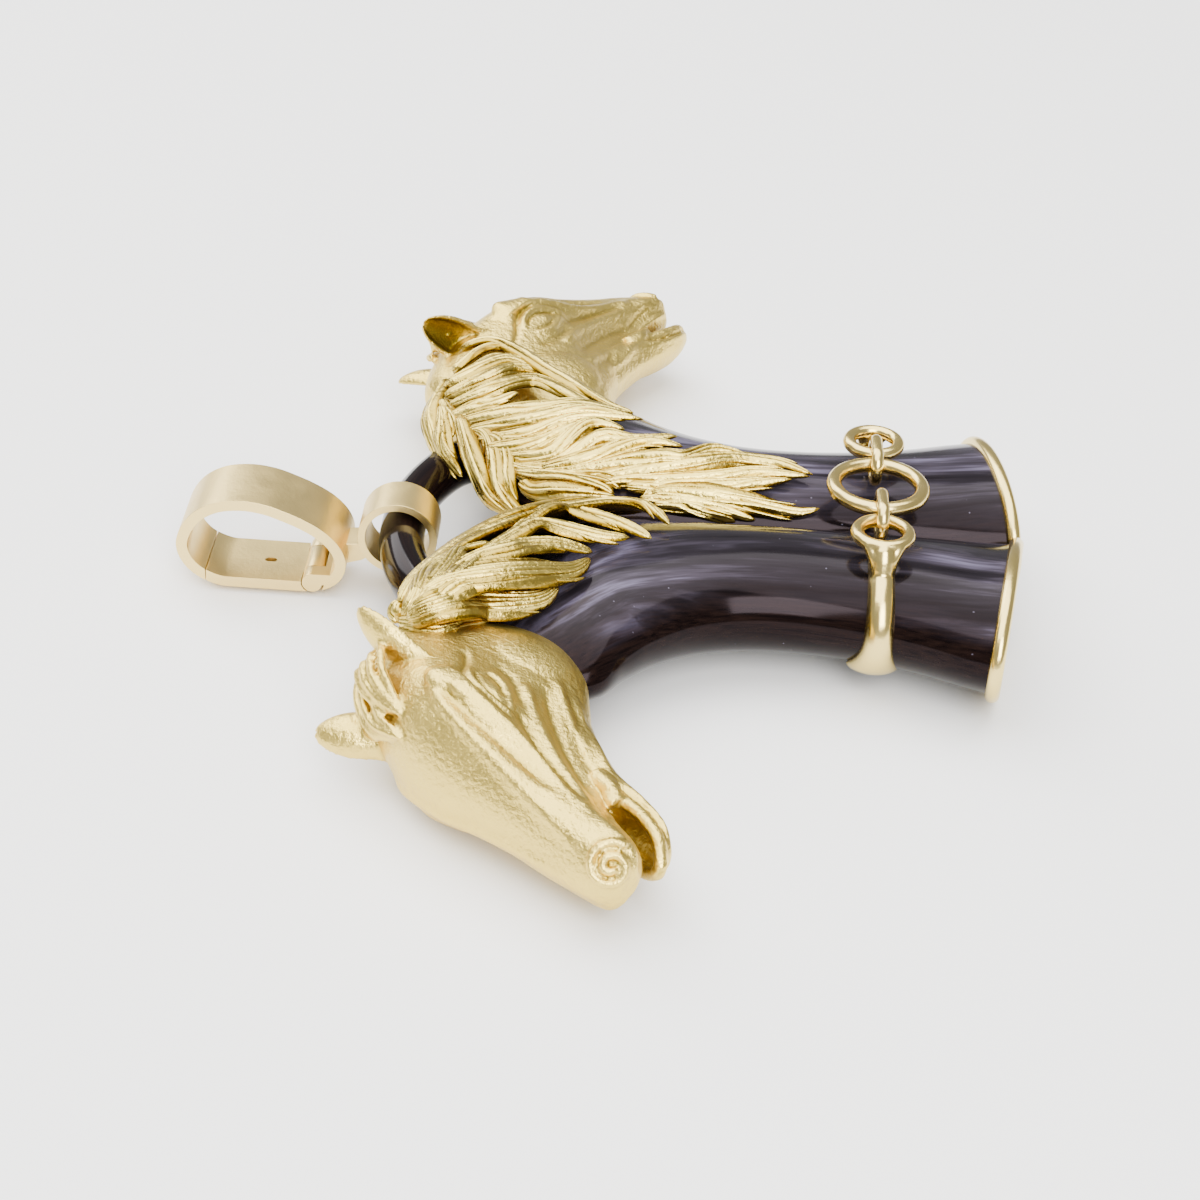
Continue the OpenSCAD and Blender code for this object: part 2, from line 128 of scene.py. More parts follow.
# %% [markdown]
# ## Skins
# A skin joins ring to ring with four-sided faces. An open skin gets a lid at each end, because
# the real pieces are solid, and only a closed form can be melted into another.

# %% Join rings to a skin
def skin_faces(rings, sides, loop=False):
    faces = []
    for j in range(rings if loop else rings - 1):
        for i in range(sides):
            a, b = j * sides + i, j * sides + (i + 1) % sides
            c, d = (j + 1) % rings * sides + (i + 1) % sides, (j + 1) % rings * sides + i
            faces.append([a, b, c, d])
    if not loop:
        faces.append(list(range(sides)))
        faces.append(list(range((rings - 1) * sides, rings * sides)))
    return faces


def full_turn(count):
    return np.linspace(0, 2 * math.pi, count, endpoint=False)


print("a skin of 3 rings with 8 sides has", len(skin_faces(3, 8)), "faces")

# %% [markdown]
# ## Even and quiet paths
# Some paths need points at equal distances, so that what is drawn along them is spread evenly.
# A few rounds of averaging take out small kinks, while both ends stay where they are.

# %% Resample and settle a path
def resample(path, count):
    path = np.asarray(path, float)
    along = np.concatenate([[0], np.cumsum(np.linalg.norm(np.diff(path, axis=0), axis=1))])
    at = np.linspace(0, along[-1], count)
    return np.stack([np.interp(at, along, path[:, k]) for k in range(path.shape[1])], axis=1)


def settle(rows, rounds):
    for _ in range(rounds):
        rows = np.concatenate([rows[:1], (rows[:-2] + 2 * rows[1:-1] + rows[2:]) / 4, rows[-1:]])
    return rows


print("a path of 2 points becomes", len(resample([[0, 0], [1, 0]], 5)), "points")

# %% [markdown]
# ## Camera
# The photograph looks along the pendant from the left, about 32 degrees above the table. The
# camera was placed from matching points of the two heads, and it is given here by where it
# stands, where it looks and which way is up for it.

# %% Place the camera
CAMERA_AT = Vector((-143.3, -1.51, 91.22)) * MM
CAMERA_LOOK = Vector((0.8428, 0.0074, -0.5381)).normalized()
CAMERA_UP = Vector((0.5365, 0.0668, 0.8413)).normalized()
LENS_MM, SENSOR_MM = 75, 36
NEAREST_M, FARTHEST_M = 0.005, 20

camera_data = bpy.data.cameras.new("camera")
camera_data.lens, camera_data.sensor_width = LENS_MM, SENSOR_MM
camera_data.clip_start, camera_data.clip_end = NEAREST_M, FARTHEST_M
camera = bpy.data.objects.new("camera", camera_data)
across = CAMERA_LOOK.cross(CAMERA_UP).normalized()
upwards = across.cross(CAMERA_LOOK)
turn = Matrix((across, upwards, -CAMERA_LOOK)).transposed()
camera.matrix_world = Matrix.Translation(CAMERA_AT) @ turn.to_4x4()
bpy.context.scene.collection.objects.link(camera)
bpy.context.scene.camera = camera
print("camera stands", round(CAMERA_AT.length * 1000), "mm away")

# %% [markdown]
# ## One function for every node
# Materials and Geometry Nodes are both graphs of nodes. This function adds one node, sets its
# options by name, and fills each input with a value or with a link from an earlier node.

# %% Add a node
def add(tree, kind, inputs=None, **options):
    node = tree.nodes.new(kind)
    for name, value in options.items():
        setattr(node, name, value)
    for socket, source in (inputs or {}).items():
        if isinstance(source, bpy.types.NodeSocket):
            tree.links.new(source, node.inputs[socket])
        else:
            node.inputs[socket].default_value = source
    return node


# %% [markdown]
# ## Colours
# Colours are written as sRGB hex values, as any paint program shows them, and Blender works with
# linear light. One function turns the first into the second. A ramp is a row of such colours.

# %% Read a colour, and make a ramp
def linear(hex_colour):
    srgb = [int(hex_colour[i:i + 2], 16) / 255 for i in (1, 3, 5)]
    return [c / 12.92 if c <= 0.04045 else ((c + 0.055) / 1.055) ** 2.4 for c in srgb] + [1.0]


def ramp(tree, fac, stops):
    node = add(tree, "ShaderNodeValToRGB", {"Fac": fac})
    elements = node.color_ramp.elements
    while len(elements) < len(stops):
        elements.new(0.5)
    for element, (at, colour) in zip(elements, stops):
        element.position = at
        element.color = linear(colour)
    return node.outputs["Color"]


print("middle grey in linear light:", round(linear("#808080")[0], 3))

# %% [markdown]
# ## A new material
# Every material here is one Principled shader. Its name says what the real material is.

# %% Start a material
def new_material(name):
    material = bpy.data.materials.new(name)
    material.use_nodes = True
    return material, material.node_tree, material.node_tree.nodes["Principled BSDF"]


# %% [markdown]
# ## Gold
# All the metal is yellow gold, and only its surface differs: polished, satin for the heads, bright
# for the manes and brushed for the bail. Fine blasting leaves grains of about a tenth of a
# millimetre, drawn a little coarser here so that they show. In deep places light bounces from
# gold to gold and turns a richer, darker yellow. A picture could be wrapped round each piece, but
# it would have seams and a fixed sharpness. Here noise in the object's own space makes the grain,
# and a piece may carry a number at each point, 1 at the bottom of a hollow, which deepens the
# colour. A metal keeps the default IOR.

# %% Gold materials
# Colour of the painted shade in the deepest hollows, size of the patches of wear, and how much they change
# the roughness
DEEPEST_SHADE = "#3d2603"
WEAR_MM, WEAR_SHARE = 1.5, 0.25


def gold(name, surface, hollow_shade, roughness, grain_mm, slope):
    material, tree, shader = new_material(name)
    place = add(tree, "ShaderNodeTexCoord").outputs["Object"]
    depth = add(tree, "ShaderNodeAttribute", attribute_name="hollow_shade").outputs["Fac"]
    # The hollow number paints shade into the colour: from the surface colour to the shade colour to the
    # deepest shade
    shade = ramp(tree, depth, [(0.0, surface), (0.5, hollow_shade), (1.0, DEEPEST_SHADE)])
    tree.links.new(shade, shader.inputs["Base Color"])
    shader.inputs["Metallic"].default_value = 1.0
    cloud = add(tree, "ShaderNodeTexNoise", {"Vector": place, "Scale": 1 / (WEAR_MM * MM), "Detail": 3.0})
    wear = add(tree, "ShaderNodeMapRange", {"Value": cloud.outputs["Fac"],
                                            "To Min": roughness * (1 - WEAR_SHARE),
                                            "To Max": roughness * (1 + WEAR_SHARE)})
    tree.links.new(wear.outputs["Result"], shader.inputs["Roughness"])
    grain = add(tree, "ShaderNodeTexNoise", {"Vector": place, "Scale": 1 / (grain_mm * MM), "Detail": 3.0,
                                             "Roughness": 0.6})
    bump = add(tree, "ShaderNodeBump", {"Height": grain.outputs["Fac"], "Distance": slope * grain_mm * MM,
                                        "Strength": 1.0})
    tree.links.new(bump.outputs["Normal"], shader.inputs["Normal"])
    return material


# %% [markdown]
# ## Four finishes of gold
# Each finish has a surface colour, a colour of painted shade for its hollows, a roughness, the
# size of its grain in millimetres and how steep the grain is. Polish keeps the highlights small
# and bright. Satin spreads them over the forms, so the heads look softer, and the manes lie in
# between. Brushing makes the bail evenly dull. Only the heads and the manes have a grain that the eye can
# see.

# %% Mix the four finishes
polished_gold = gold("polished yellow gold", "#e8cf80", "#8c7218", 0.22, 1.2, 0.02)
satin_gold = gold("satin cast yellow gold", "#e4c868", "#87701a", 0.34, 0.38, 0.30)
mane_gold = gold("bright cast yellow gold", "#e5cb68", "#886c14", 0.28, 0.50, 0.20)
brushed_gold = gold("brushed yellow gold", "#ecd188", "#8c741c", 0.36, 0.30, 0.05)
for finish in (polished_gold, satin_gold, mane_gold, brushed_gold):
    print("gold finish:", finish.name)

# %% [markdown]
# ## Hawk's-eye stone
# Hawk's eye is quartz with fine fibres, nearly black here and brown in places. Silky grey-lilac
# bands run along the neck. Their grey-lilac sheen is painted into the colour of its upper part
# only, where the fibres catch the light, and the lower part stays dark. A few white specks lie
# between them, and the whole is polished, which gives it sharp, quiet reflections. The pattern
# could be cut straight from a block of noise, but then the bands would run out of the bend. So
# each point of a neck carries its own place along and across the neck, and the bands follow that.

# %% Stone material
# Repeats for each millimetre along, across and up: bands of about 33 by 3 mm, fibres of about
# 5 by 0.2 mm, and cells of 1.25 mm with a white speck in the middle of some
BANDS_PER_MM, FIBRES_PER_MM, SPECKS_PER_MM = (0.03, 0.36, 0.36), (0.22, 5.0, 5.0), 0.8
# Heights at which the painted sheen of the bands begins and is fullest, in millimetres
SHEEN_BEGIN_Z, SHEEN_FULL_Z = 5.9, 8.0


def hawks_eye():
    material, tree, shader = new_material("polished hawk's-eye quartz")
    along = add(tree, "ShaderNodeAttribute", attribute_name="along_neck").outputs["Vector"]
    band_place = add(tree, "ShaderNodeMapping", {"Vector": along, "Scale": BANDS_PER_MM})
    bands = add(tree, "ShaderNodeTexNoise", {"Vector": band_place.outputs["Vector"], "Scale": 1.0,
                                             "Detail": 5.0, "Roughness": 0.62, "Distortion": 0.3})
    fibre_place = add(tree, "ShaderNodeMapping", {"Vector": along, "Scale": FIBRES_PER_MM})
    fibres = add(tree, "ShaderNodeTexNoise", {"Vector": fibre_place.outputs["Vector"], "Scale": 1.0,
                                              "Detail": 4.0})
    # Dark and grey-lilac bands: the stone's own bands, with a painted sheen in their light colours
    silk_and_sheen = ramp(tree, bands.outputs["Fac"], [(0.34, "#0c0a0c"), (0.45, "#1f1c21"), (0.52, "#3a353f"),
                                             (0.58, "#625c70"), (0.64, "#3b353b"), (0.72, "#2b2221")])
    body = ramp(tree, fibres.outputs["Fac"], [(0.30, "#040202"), (0.70, "#170e0b")])
    height = add(tree, "ShaderNodeSeparateXYZ", {"Vector": along})
    # Painted sheen: the bands show only on the upper part, and the stone stays dark below
    painted_sheen_share = add(tree, "ShaderNodeMapRange", {"Value": height.outputs["Z"], "From Min": SHEEN_BEGIN_Z,
                                           "From Max": SHEEN_FULL_Z, "To Min": 0.0, "To Max": 0.85},
              interpolation_type="SMOOTHSTEP")
    base = add(tree, "ShaderNodeMix", {"Factor": painted_sheen_share.outputs["Result"], "A": body, "B": silk_and_sheen},
               data_type="RGBA")
    cells = add(tree, "ShaderNodeTexVoronoi", {"Vector": along, "Scale": SPECKS_PER_MM, "Randomness": 1.0})
    spots = add(tree, "ShaderNodeMapRange", {"Value": cells.outputs["Distance"], "From Min": 0.02,
                                             "From Max": 0.06, "To Min": 0.45, "To Max": 0.0})
    speckled = add(tree, "ShaderNodeMix", {"Factor": spots.outputs["Result"], "A": base.outputs["Result"],
                                           "B": linear("#7d788a")}, data_type="RGBA")
    tree.links.new(speckled.outputs["Result"], shader.inputs["Base Color"])
    # A low specular level keeps the pale room out of the dark stone
    shader.inputs["Specular IOR Level"].default_value = 0.15
    shader.inputs["Specular Tint"].default_value = linear("#c2aeb6")
    shader.inputs["Roughness"].default_value = 0.12
    shader.inputs["IOR"].default_value = 1.54
    return material


stone = hawks_eye()
print("stone:", stone.name)

# %% [markdown]
# ## Stone necks
# Each neck is one carved bar of stone that curves out to its head. A curve with a bevel would
# give a bar that is equally thick everywhere, but the real one narrows and widens on its way.
# So a row of the table gives the crest and the throat of one cross-section, an ellipse is drawn
# between them, and a skin joins the ellipses. Where they meet, the necks are cut flat.

# %% Cross-sections of a neck
# Gap between the two necks, height of a neck's middle and half its thickness, in millimetres
SEAM = 0.08
NECK_Z, NECK_HALF_H = 4.75, 3.6
# Crest x, crest y, throat x, throat y, half height as a share, height offset
NECK = [
    [0.05, -27.4, 13.5, -25.0, 1.10, -0.10],
    [0.05, -25.0, 12.9, -23.0, 1.05, -0.05],
    [0.05, -21.5, 11.7, -20.0, 1.02, 0],
    [0.05, -17.4, 10.8, -16.5, 1.00, 0],
    [0.05, -13.0, 10.3, -12.6, 1.00, 0],
    [0.05, -9.0, 10.5, -9.3, 1.00, 0],
    [0.05, -5.0, 11.5, -6.4, 1.00, 0],
    [0.05, -1.2, 13.2, -4.0, 0.98, -0.05],
    [0.15, 2.6, 15.3, -2.1, 0.94, -0.15],
    [1.3, 5.3, 17.3, -0.7, 0.86, -0.30],
    [4.8, 7.7, 18.2, 1.6, 0.74, -0.45],
    [8.8, 9.7, 18.6, 4.6, 0.55, -0.55],
]
NECK_SIDES = 96


def neck_rings():
    rows = smooth_rows(NECK, steps=8)
    crest, throat = rows[:, 0:2], rows[:, 2:4]
    half, middle = (throat - crest) / 2, (throat + crest) / 2
    angle = full_turn(NECK_SIDES)
    flat = middle[:, None] + np.cos(angle)[None, :, None] * half[:, None]
    height = (NECK_Z + rows[:, 5])[:, None] + np.sin(angle) * (NECK_HALF_H * rows[:, 4])[:, None]
    rings = np.concatenate([flat, height[..., None]], axis=2)
    rings[..., 0] = np.maximum(rings[..., 0], SEAM / 2)
    return rings, np.column_stack([middle, NECK_Z + rows[:, 5]])


neck_ring_points, neck_axis = neck_rings()
print("a neck has", len(neck_ring_points), "rings")

# %% [markdown]
# ## A place along the stone for every point
# The bands of the stone run with the neck. So each point is told how far along the neck it lies,
# how far to its side and how high, and the material reads that; the height places the painted
# sheen. The left neck is a different stretch of the pattern, because no two pieces of stone are the same.

# %% Store the place along the stone
PATTERN_SHIFT_MM = 40
print("the left neck's pattern starts", PATTERN_SHIFT_MM, "mm further on")


def store_along(made, path, side):
    points = np.array([v.co for v in made.data.vertices]) / MM - DRAWING_AT
    points[:, 0] *= side
    nearest = np.linalg.norm(points[:, None] - path[None], axis=2).argmin(axis=1)
    length = np.concatenate([[0], np.cumsum(np.linalg.norm(np.diff(path, axis=0), axis=1))])
    forward = unit(np.gradient(path, axis=0))[nearest]
    offset = points - path[nearest]
    ahead = (offset * forward).sum(axis=1)
    sideways = offset[:, 0] * forward[:, 1] - offset[:, 1] * forward[:, 0]
    along = length[nearest] + ahead + PATTERN_SHIFT_MM * (side < 0)
    value = np.column_stack([along, sideways, points[:, 2]])
    layer = made.data.attributes.new("along_neck", "FLOAT_VECTOR", "POINT")
    layer.data.foreach_set("vector", value.astype(np.float32).ravel())


# %% Carve both necks
# Edges steeper than this stay sharp, such as those round the ends
CRISP_DEGREES = 50

for side, word in SIDES:
    made = mesh_object(f"carved_neck_{word}", neck_ring_points.reshape(-1, 3),
                       skin_faces(len(neck_ring_points), NECK_SIDES), side)
    store_along(made, neck_axis, side)
    made.data.set_sharp_from_angle(angle=math.radians(CRISP_DEGREES))
    finish_piece(made, "pendant", "hawks_eye_stone", stone, f"neck_{word}")

# %% [markdown]
# ## Stone arch
# The arch is a bar of the same stone bent in a loop, a little deeper than it is thick. Half of
# its path is given, and the other half is mirrored. Rings are set along the path, not by a
# bevel, because the stone's bands need the same path.

# %% Carve the arch
# x and y along the right half of the path
ARCH = [[9.6, 10.1], [8.6, 11.0], [7.0, 11.9], [4.8, 12.75], [2.4, 13.3]]
# y of the top of the path, its height, and thickness and depth of the bar
ARCH_TOP_Y, ARCH_Z, ARCH_THICK, ARCH_DEPTH = 13.45, 4.4, 3.0, 3.3
ARCH_SIDES = 48

arch_path = smooth_rows(ARCH + [[0, ARCH_TOP_Y]] + [[-x, y] for x, y in ARCH[::-1]], steps=8)
arch_path = np.column_stack([arch_path, np.full(len(arch_path), ARCH_Z)])
arch_ahead = unit(np.gradient(arch_path, axis=0))
arch_side = np.column_stack([arch_ahead[:, 1], -arch_ahead[:, 0], np.zeros(len(arch_path))])
angle = full_turn(ARCH_SIDES)
arch_rings = (arch_path[:, None] + np.cos(angle)[None, :, None] * arch_side[:, None] * ARCH_THICK / 2
              + np.sin(angle)[None, :, None] * np.array([0, 0, ARCH_DEPTH / 2]))
made = mesh_object("carved_arch", arch_rings.reshape(-1, 3), skin_faces(len(arch_rings), ARCH_SIDES))
store_along(made, arch_path, 1)
finish_piece(made, "pendant", "hawks_eye_stone", stone, "stone_arch")

# %% [markdown]
# ## Wires that follow a path
# Rims, rings and links all have one thing in common: each is a wire that follows a path.
# A torus would do for the rings, but not for the flattened rims and the links. So one tree of
# Geometry Nodes does it for all: a path is a curve whose points carry a radius, and Curve to
# Mesh draws a round section along it.

# %% Build the wire tree
def wire_tree():
    tree = bpy.data.node_groups.new("Wire along a path", "GeometryNodeTree")
    face = tree.interface
    face.new_socket("Geometry", in_out="INPUT", socket_type="NodeSocketGeometry")
    face.new_socket("Sides", in_out="INPUT", socket_type="NodeSocketInt")
    face.new_socket("Metal", in_out="INPUT", socket_type="NodeSocketMaterial")
    face.new_socket("Geometry", in_out="OUTPUT", socket_type="NodeSocketGeometry")
    given = add(tree, "NodeGroupInput")
    section = add(tree, "GeometryNodeCurvePrimitiveCircle", {"Resolution": given.outputs["Sides"],
                                                             "Radius": 1.0})
    radius = add(tree, "GeometryNodeInputRadius")
    wire = add(tree, "GeometryNodeCurveToMesh", {"Curve": given.outputs["Geometry"],
                                                 "Profile Curve": section.outputs["Curve"],
                                                 "Scale": radius.outputs["Radius"]})
    real = add(tree, "GeometryNodeRealizeInstances", {"Geometry": wire.outputs["Mesh"]})
    dressed = add(tree, "GeometryNodeSetMaterial", {"Geometry": real.outputs["Geometry"],
                                                    "Material": given.outputs["Metal"]})
    add(tree, "NodeGroupOutput", {"Geometry": dressed.outputs["Geometry"]})
    return tree


WIRE_TREE = wire_tree()
print("wire tree:", len(WIRE_TREE.nodes), "nodes")

# %% [markdown]
# ## From a path to a mesh
# The tree is put on a curve object, its inputs are set, and the result is turned into a plain
# mesh. The curve object is then removed. Every wire here is a closed loop. A curve keeps its
# points and radii in metres.

# %% Draw a wire along a closed path
def draw_wire(name, path, radius, metal, sides):
    points = (path + DRAWING_AT) * MM
    curve = bpy.data.curves.new(name + "_path", "CURVE")
    curve.dimensions = "3D"
    spline = curve.splines.new("POLY")
    spline.points.add(len(points) - 1)
    spline.use_cyclic_u = True
    spline.points.foreach_set("co", np.column_stack([points, np.ones(len(points))]).ravel())
    spline.points.foreach_set("radius", np.full(len(points), radius * MM))
    holder = bpy.data.objects.new(name + "_path", curve)
    bpy.context.scene.collection.objects.link(holder)
    modifier = holder.modifiers.new("wire", "NODES")
    modifier.node_group = WIRE_TREE
    values = {"Sides": sides, "Metal": metal}
    for item in WIRE_TREE.interface.items_tree:
        if item.in_out == "INPUT" and item.name in values:
            modifier[item.identifier] = values[item.name]
    bpy.context.view_layer.update()
    graph = bpy.context.evaluated_depsgraph_get()
    mesh = bpy.data.meshes.new_from_object(holder.evaluated_get(graph))
    made = bpy.data.objects.new(name, mesh)
    bpy.context.scene.collection.objects.link(made)
    bpy.data.objects.remove(holder)
    point_outwards(made)
    return made


# %% [markdown]
# ## Rims, middle ring and links
# The base of each neck is closed by a rim of round gold wire. The snaffle, a horse's bit, is
# copied by a ring between two upright oblong links. All are paths for the wire tree: an ellipse,
# a circle and a rounded slot. Each wire passes the next with a little play, as on the real chain.

# %% Paths of a rim and a link
# Thickness of the wires, and the outer diameters of the middle ring and of a strap's eye
RIM_WIRE, CENTRE_WIRE, LINK_WIRE, EYE_WIRE = 0.95, 1.0, 0.8, 0.9
CENTRE_D, EYE_D = 6.8, 4.2
# Place of the snaffle, of an eye, and the play between two wires
SNAFFLE_Y, SNAFFLE_Z, EYE_X, PLAY = -17.8, 9.95, 6.0, 0.1
RING_STEPS, BEND_STEPS = 96, 20
# Sides of the thick wires and of the thin ones
THICK_SIDES, THIN_SIDES = 24, 20


def rim_path():
    crest, throat = np.array(NECK[0][0:2]), np.array(NECK[0][2:4])
    half, middle = (throat - crest) / 2, (throat + crest) / 2
    angle = full_turn(RING_STEPS)
    flat = middle + np.cos(angle)[:, None] * half
    height = NECK_Z + NECK[0][5] + np.sin(angle) * NECK_HALF_H * NECK[0][4]
    path = np.column_stack([flat, height])
    path[:, 0] = np.maximum(path[:, 0], SEAM / 2 + RIM_WIRE / 2)
    return path


def link_path():
    bend = CENTRE_WIRE / 2 + PLAY + LINK_WIRE / 2
    near = CENTRE_D / 2 - CENTRE_WIRE - PLAY - LINK_WIRE / 2 + bend
    far = EYE_X - EYE_D / 2 + EYE_WIRE + PLAY + LINK_WIRE / 2 - bend
    half_turn = np.linspace(math.pi / 2, 3 * math.pi / 2, BEND_STEPS)
    inner = np.column_stack([near + bend * np.cos(half_turn), bend * np.sin(half_turn)])
    outer = np.column_stack([far - bend * np.cos(half_turn), -bend * np.sin(half_turn)])
    slot_shape = np.concatenate([inner, outer])
    return np.column_stack([slot_shape[:, 0], np.full(len(slot_shape), SNAFFLE_Y),
                            SNAFFLE_Z + slot_shape[:, 1]])


print("points on the path of a rim and of a link:", len(rim_path()), len(link_path()))

# %% Draw the rims and the links
for side, word in SIDES:
    rim = draw_wire(f"wire_rim_{word}", rim_path() * [side, 1, 1], RIM_WIRE / 2, polished_gold, THICK_SIDES)
    finish_piece(rim, "pendant", "polished_gold", polished_gold, f"rim_{word}")
    link = draw_wire(f"oblong_link_{word}", link_path() * [side, 1, 1], LINK_WIRE / 2, polished_gold,
                     THIN_SIDES)
    finish_piece(link, "pendant", "polished_gold", polished_gold, f"link_{word}")

# %% Draw the middle ring
angle = full_turn(RING_STEPS)
ring_radius = (CENTRE_D - CENTRE_WIRE) / 2
ring_path = np.column_stack([ring_radius * np.cos(angle), SNAFFLE_Y + ring_radius * np.sin(angle),
                             np.full(RING_STEPS, SNAFFLE_Z)])
ring = draw_wire("snaffle_ring", ring_path, CENTRE_WIRE / 2, polished_gold, THICK_SIDES)
finish_piece(ring, "pendant", "polished_gold", polished_gold, "centre_ring")

# %% [markdown]
# ## Casting several forms into one
# A strap and a head are each one casting, with soft fillets where its forms meet. A Boolean
# would leave hard creases there. Remesh in voxel mode melts overlapping closed forms into one
# skin of small squares, and a little smoothing rounds the places where they met, as wax does
# before it is cast. First the forms are joined to one mesh.

# %% Join forms to one mesh
def joined(parts):
    points, faces = [], []
    for part_points, part_faces in parts:
        start = sum(len(p) for p in points)
        points.append(np.asarray(part_points, float))
        faces.extend([start + i for i in face] for face in part_faces)
    return np.concatenate(points), faces


square = [[0, 0, 0], [1, 0, 0], [1, 1, 0], [0, 1, 0]], [[0, 1, 2, 3]]
print("faces of two joined squares:", joined([square, square])[1])

# %% [markdown]
# ## Melt and relax
# After the remesh the rough form isn't needed any more. Relaxing moves each point half the way
# to the middle of its neighbours, and it is done a few times. The opposite, moving a point away
# from where it would relax to, sharpens edges that were washed out.

# %% Melt, relax and sharpen
def melt(rough, voxel_mm, rounds):
    remesh = rough.modifiers.new("melt", "REMESH")
    remesh.mode, remesh.voxel_size = "VOXEL", voxel_mm * MM
    graph = bpy.context.evaluated_depsgraph_get()
    mesh = bpy.data.meshes.new_from_object(rough.evaluated_get(graph))
    points = np.array([v.co for v in mesh.vertices]) / MM - DRAWING_AT
    quads = [list(p.vertices) for p in mesh.polygons]
    edges = np.array([list(e.vertices) for e in mesh.edges])
    bpy.data.objects.remove(rough)
    return relax(points, edges, rounds), quads, edges


def relax(points, edges, rounds):
    count = np.bincount(edges.ravel(), minlength=len(points))[:, None]
    for _ in range(rounds):
        total = np.zeros_like(points)
        for k in range(3):
            total[:, k] = (np.bincount(edges[:, 0], points[edges[:, 1], k], len(points))
                           + np.bincount(edges[:, 1], points[edges[:, 0], k], len(points)))
        points = points + 0.5 * (total / count - points)
    return points


def sharpen(points, edges, rounds, share):
    return points + share * (points - relax(points, edges, rounds))


print("ends of a bar relax to", relax(np.array([[0.0, 0, 0], [2, 0, 0]]), np.array([[0, 1]]), 1)[:, 0])

# %% [markdown]
# ## How deep a point lies
# A point that would rise when its surroundings are relaxed lies in a hollow. How far it would
# rise along its normal, against a full depth in millimetres, gives a number from 0 to 1. It is
# stored on the mesh, and the gold materials paint shade into their colour by it.

# %% Measure and store the hollows
def face_normals(points, quads):
    quads = np.array(quads)
    flat = np.cross(points[quads[:, 2]] - points[quads[:, 0]], points[quads[:, 3]] - points[quads[:, 1]])
    normal = np.zeros_like(points)
    for k in range(4):
        for axis in range(3):
            normal[:, axis] += np.bincount(quads[:, k], flat[:, axis], len(points))
    return unit(normal)


def hollow_shading(points, quads, edges, rounds, full_mm):
    sunk = ((relax(points, edges, rounds) - points) * face_normals(points, quads)).sum(axis=1)
    return np.clip(relax(sunk[:, None] * [1, 1, 1], edges, rounds=1)[:, 0] / full_mm, 0, 1)


def store_value(made, name, values):
    made.data.attributes.new(name, "FLOAT", "POINT").data.foreach_set("value", values.astype(np.float32))


print("normal of a flat square:", face_normals(np.array(square[0], float), square[1])[0])

# %% [markdown]
# ## Two simple forms
# Eyes and cheeks start as balls. The shoulders of the straps, the lips, the brows and the strands
# of the forelock start as round bars that follow a path. Blender has both as ready meshes and
# curves, but as lists of points and faces they can be joined and melted in one go.

# %% Balls and bars
def ball(centre, size, steps=16):
    rows = [[math.sin(math.pi * j / steps), math.cos(math.pi * j / steps)] for j in range(1, steps)]
    angle = full_turn(2 * steps)
    points = np.array([[r * math.cos(a), r * math.sin(a), z] for r, z in rows for a in angle])
    return points * size + centre, skin_faces(steps - 1, 2 * steps)


def sweep(path, radii, sides=12):
    path, radii = np.asarray(path, float), np.broadcast_to(radii, len(path))
    ahead = unit(np.gradient(path, axis=0))
    across = unit(np.cross(ahead, [0.13, 0.2, 1.0]))
    above = np.cross(across, ahead)
    angle = full_turn(sides)
    rings = (path[:, None] + np.cos(angle)[None, :, None] * across[:, None] * radii[:, None, None]
             + np.sin(angle)[None, :, None] * above[:, None] * radii[:, None, None])
    return rings.reshape(-1, 3), skin_faces(len(path), sides)


print("a ball has", len(ball([0, 0, 0], [1, 1, 1])[0]), "points")

# %% [markdown]
# ## Straps
# Each strap starts as an eye for the link, narrows to a half-round bar over the outside of the
# neck, and flares where it ends. Its soft fillets would take many points by hand. As closed
# forms that overlap, they take a few rows each: the bar has its width and height round the neck,
# a shoulder leads from the eye to the bar, and a fillet lies on each side of it. All are melted.

# %% Rows of a strap
# Angle round the neck, half width along the neck, height over the stone
STRAP = [[88, 0.9, 0.7], [75, 0.85, 1.0], [50, 0.88, 1.05], [25, 0.92, 1.0], [0, 1.0, 0.95],
         [-18, 1.25, 0.9], [-32, 1.55, 0.85], [-44, 1.75, 0.6]]
# Middle and half width of the ellipse that the bar follows round the neck
STRAP_CENTRE_X, STRAP_HALF_X = 5.45, 5.5
# Shoulder between the eye and the bar: x, z, radius
SHOULDER = [[7.5, 9.95, 0.5], [7.75, 9.7, 0.66], [8.0, 9.2, 0.78], [8.2, 8.6, 0.84], [8.4, 8.1, 0.8]]
# Fillet on each side of the shoulder: x, distance from the middle, z
FILLET = [[7.0, 1.25, 9.95], [7.55, 0.95, 9.85], [8.0, 0.6, 9.3], [8.4, 0.42, 8.5]]
FILLET_RADII = [0.36, 0.40, 0.42, 0.38]
BAR_SIDES, EYE_STEPS, EYE_SIDES = 32, 64, 20
print("a strap spans", STRAP[0][0] - STRAP[-1][0], "degrees of the neck")


# %% Bar and eye of a strap
def strap_bar():
    rows = smooth_rows(STRAP, steps=8)
    turn = np.radians(rows[:, 0])
    at = np.column_stack([STRAP_CENTRE_X + STRAP_HALF_X * np.cos(turn),
                          NECK_Z + NECK_HALF_H * np.sin(turn)])
    out = unit(np.column_stack([np.cos(turn) / STRAP_HALF_X, np.sin(turn) / NECK_HALF_H]))
    round_it = full_turn(BAR_SIDES)
    dome = np.sign(np.sin(round_it)) * np.abs(np.sin(round_it)) ** 0.9
    lift = np.where(dome > 0, dome * rows[:, 2:3], 0.35 * dome)
    bar = np.stack([at[:, :1] + out[:, :1] * lift, SNAFFLE_Y - rows[:, 1:2] * np.cos(round_it),
                    at[:, 1:] + out[:, 1:] * lift], axis=2)
    return bar.reshape(-1, 3), skin_faces(len(rows), BAR_SIDES)


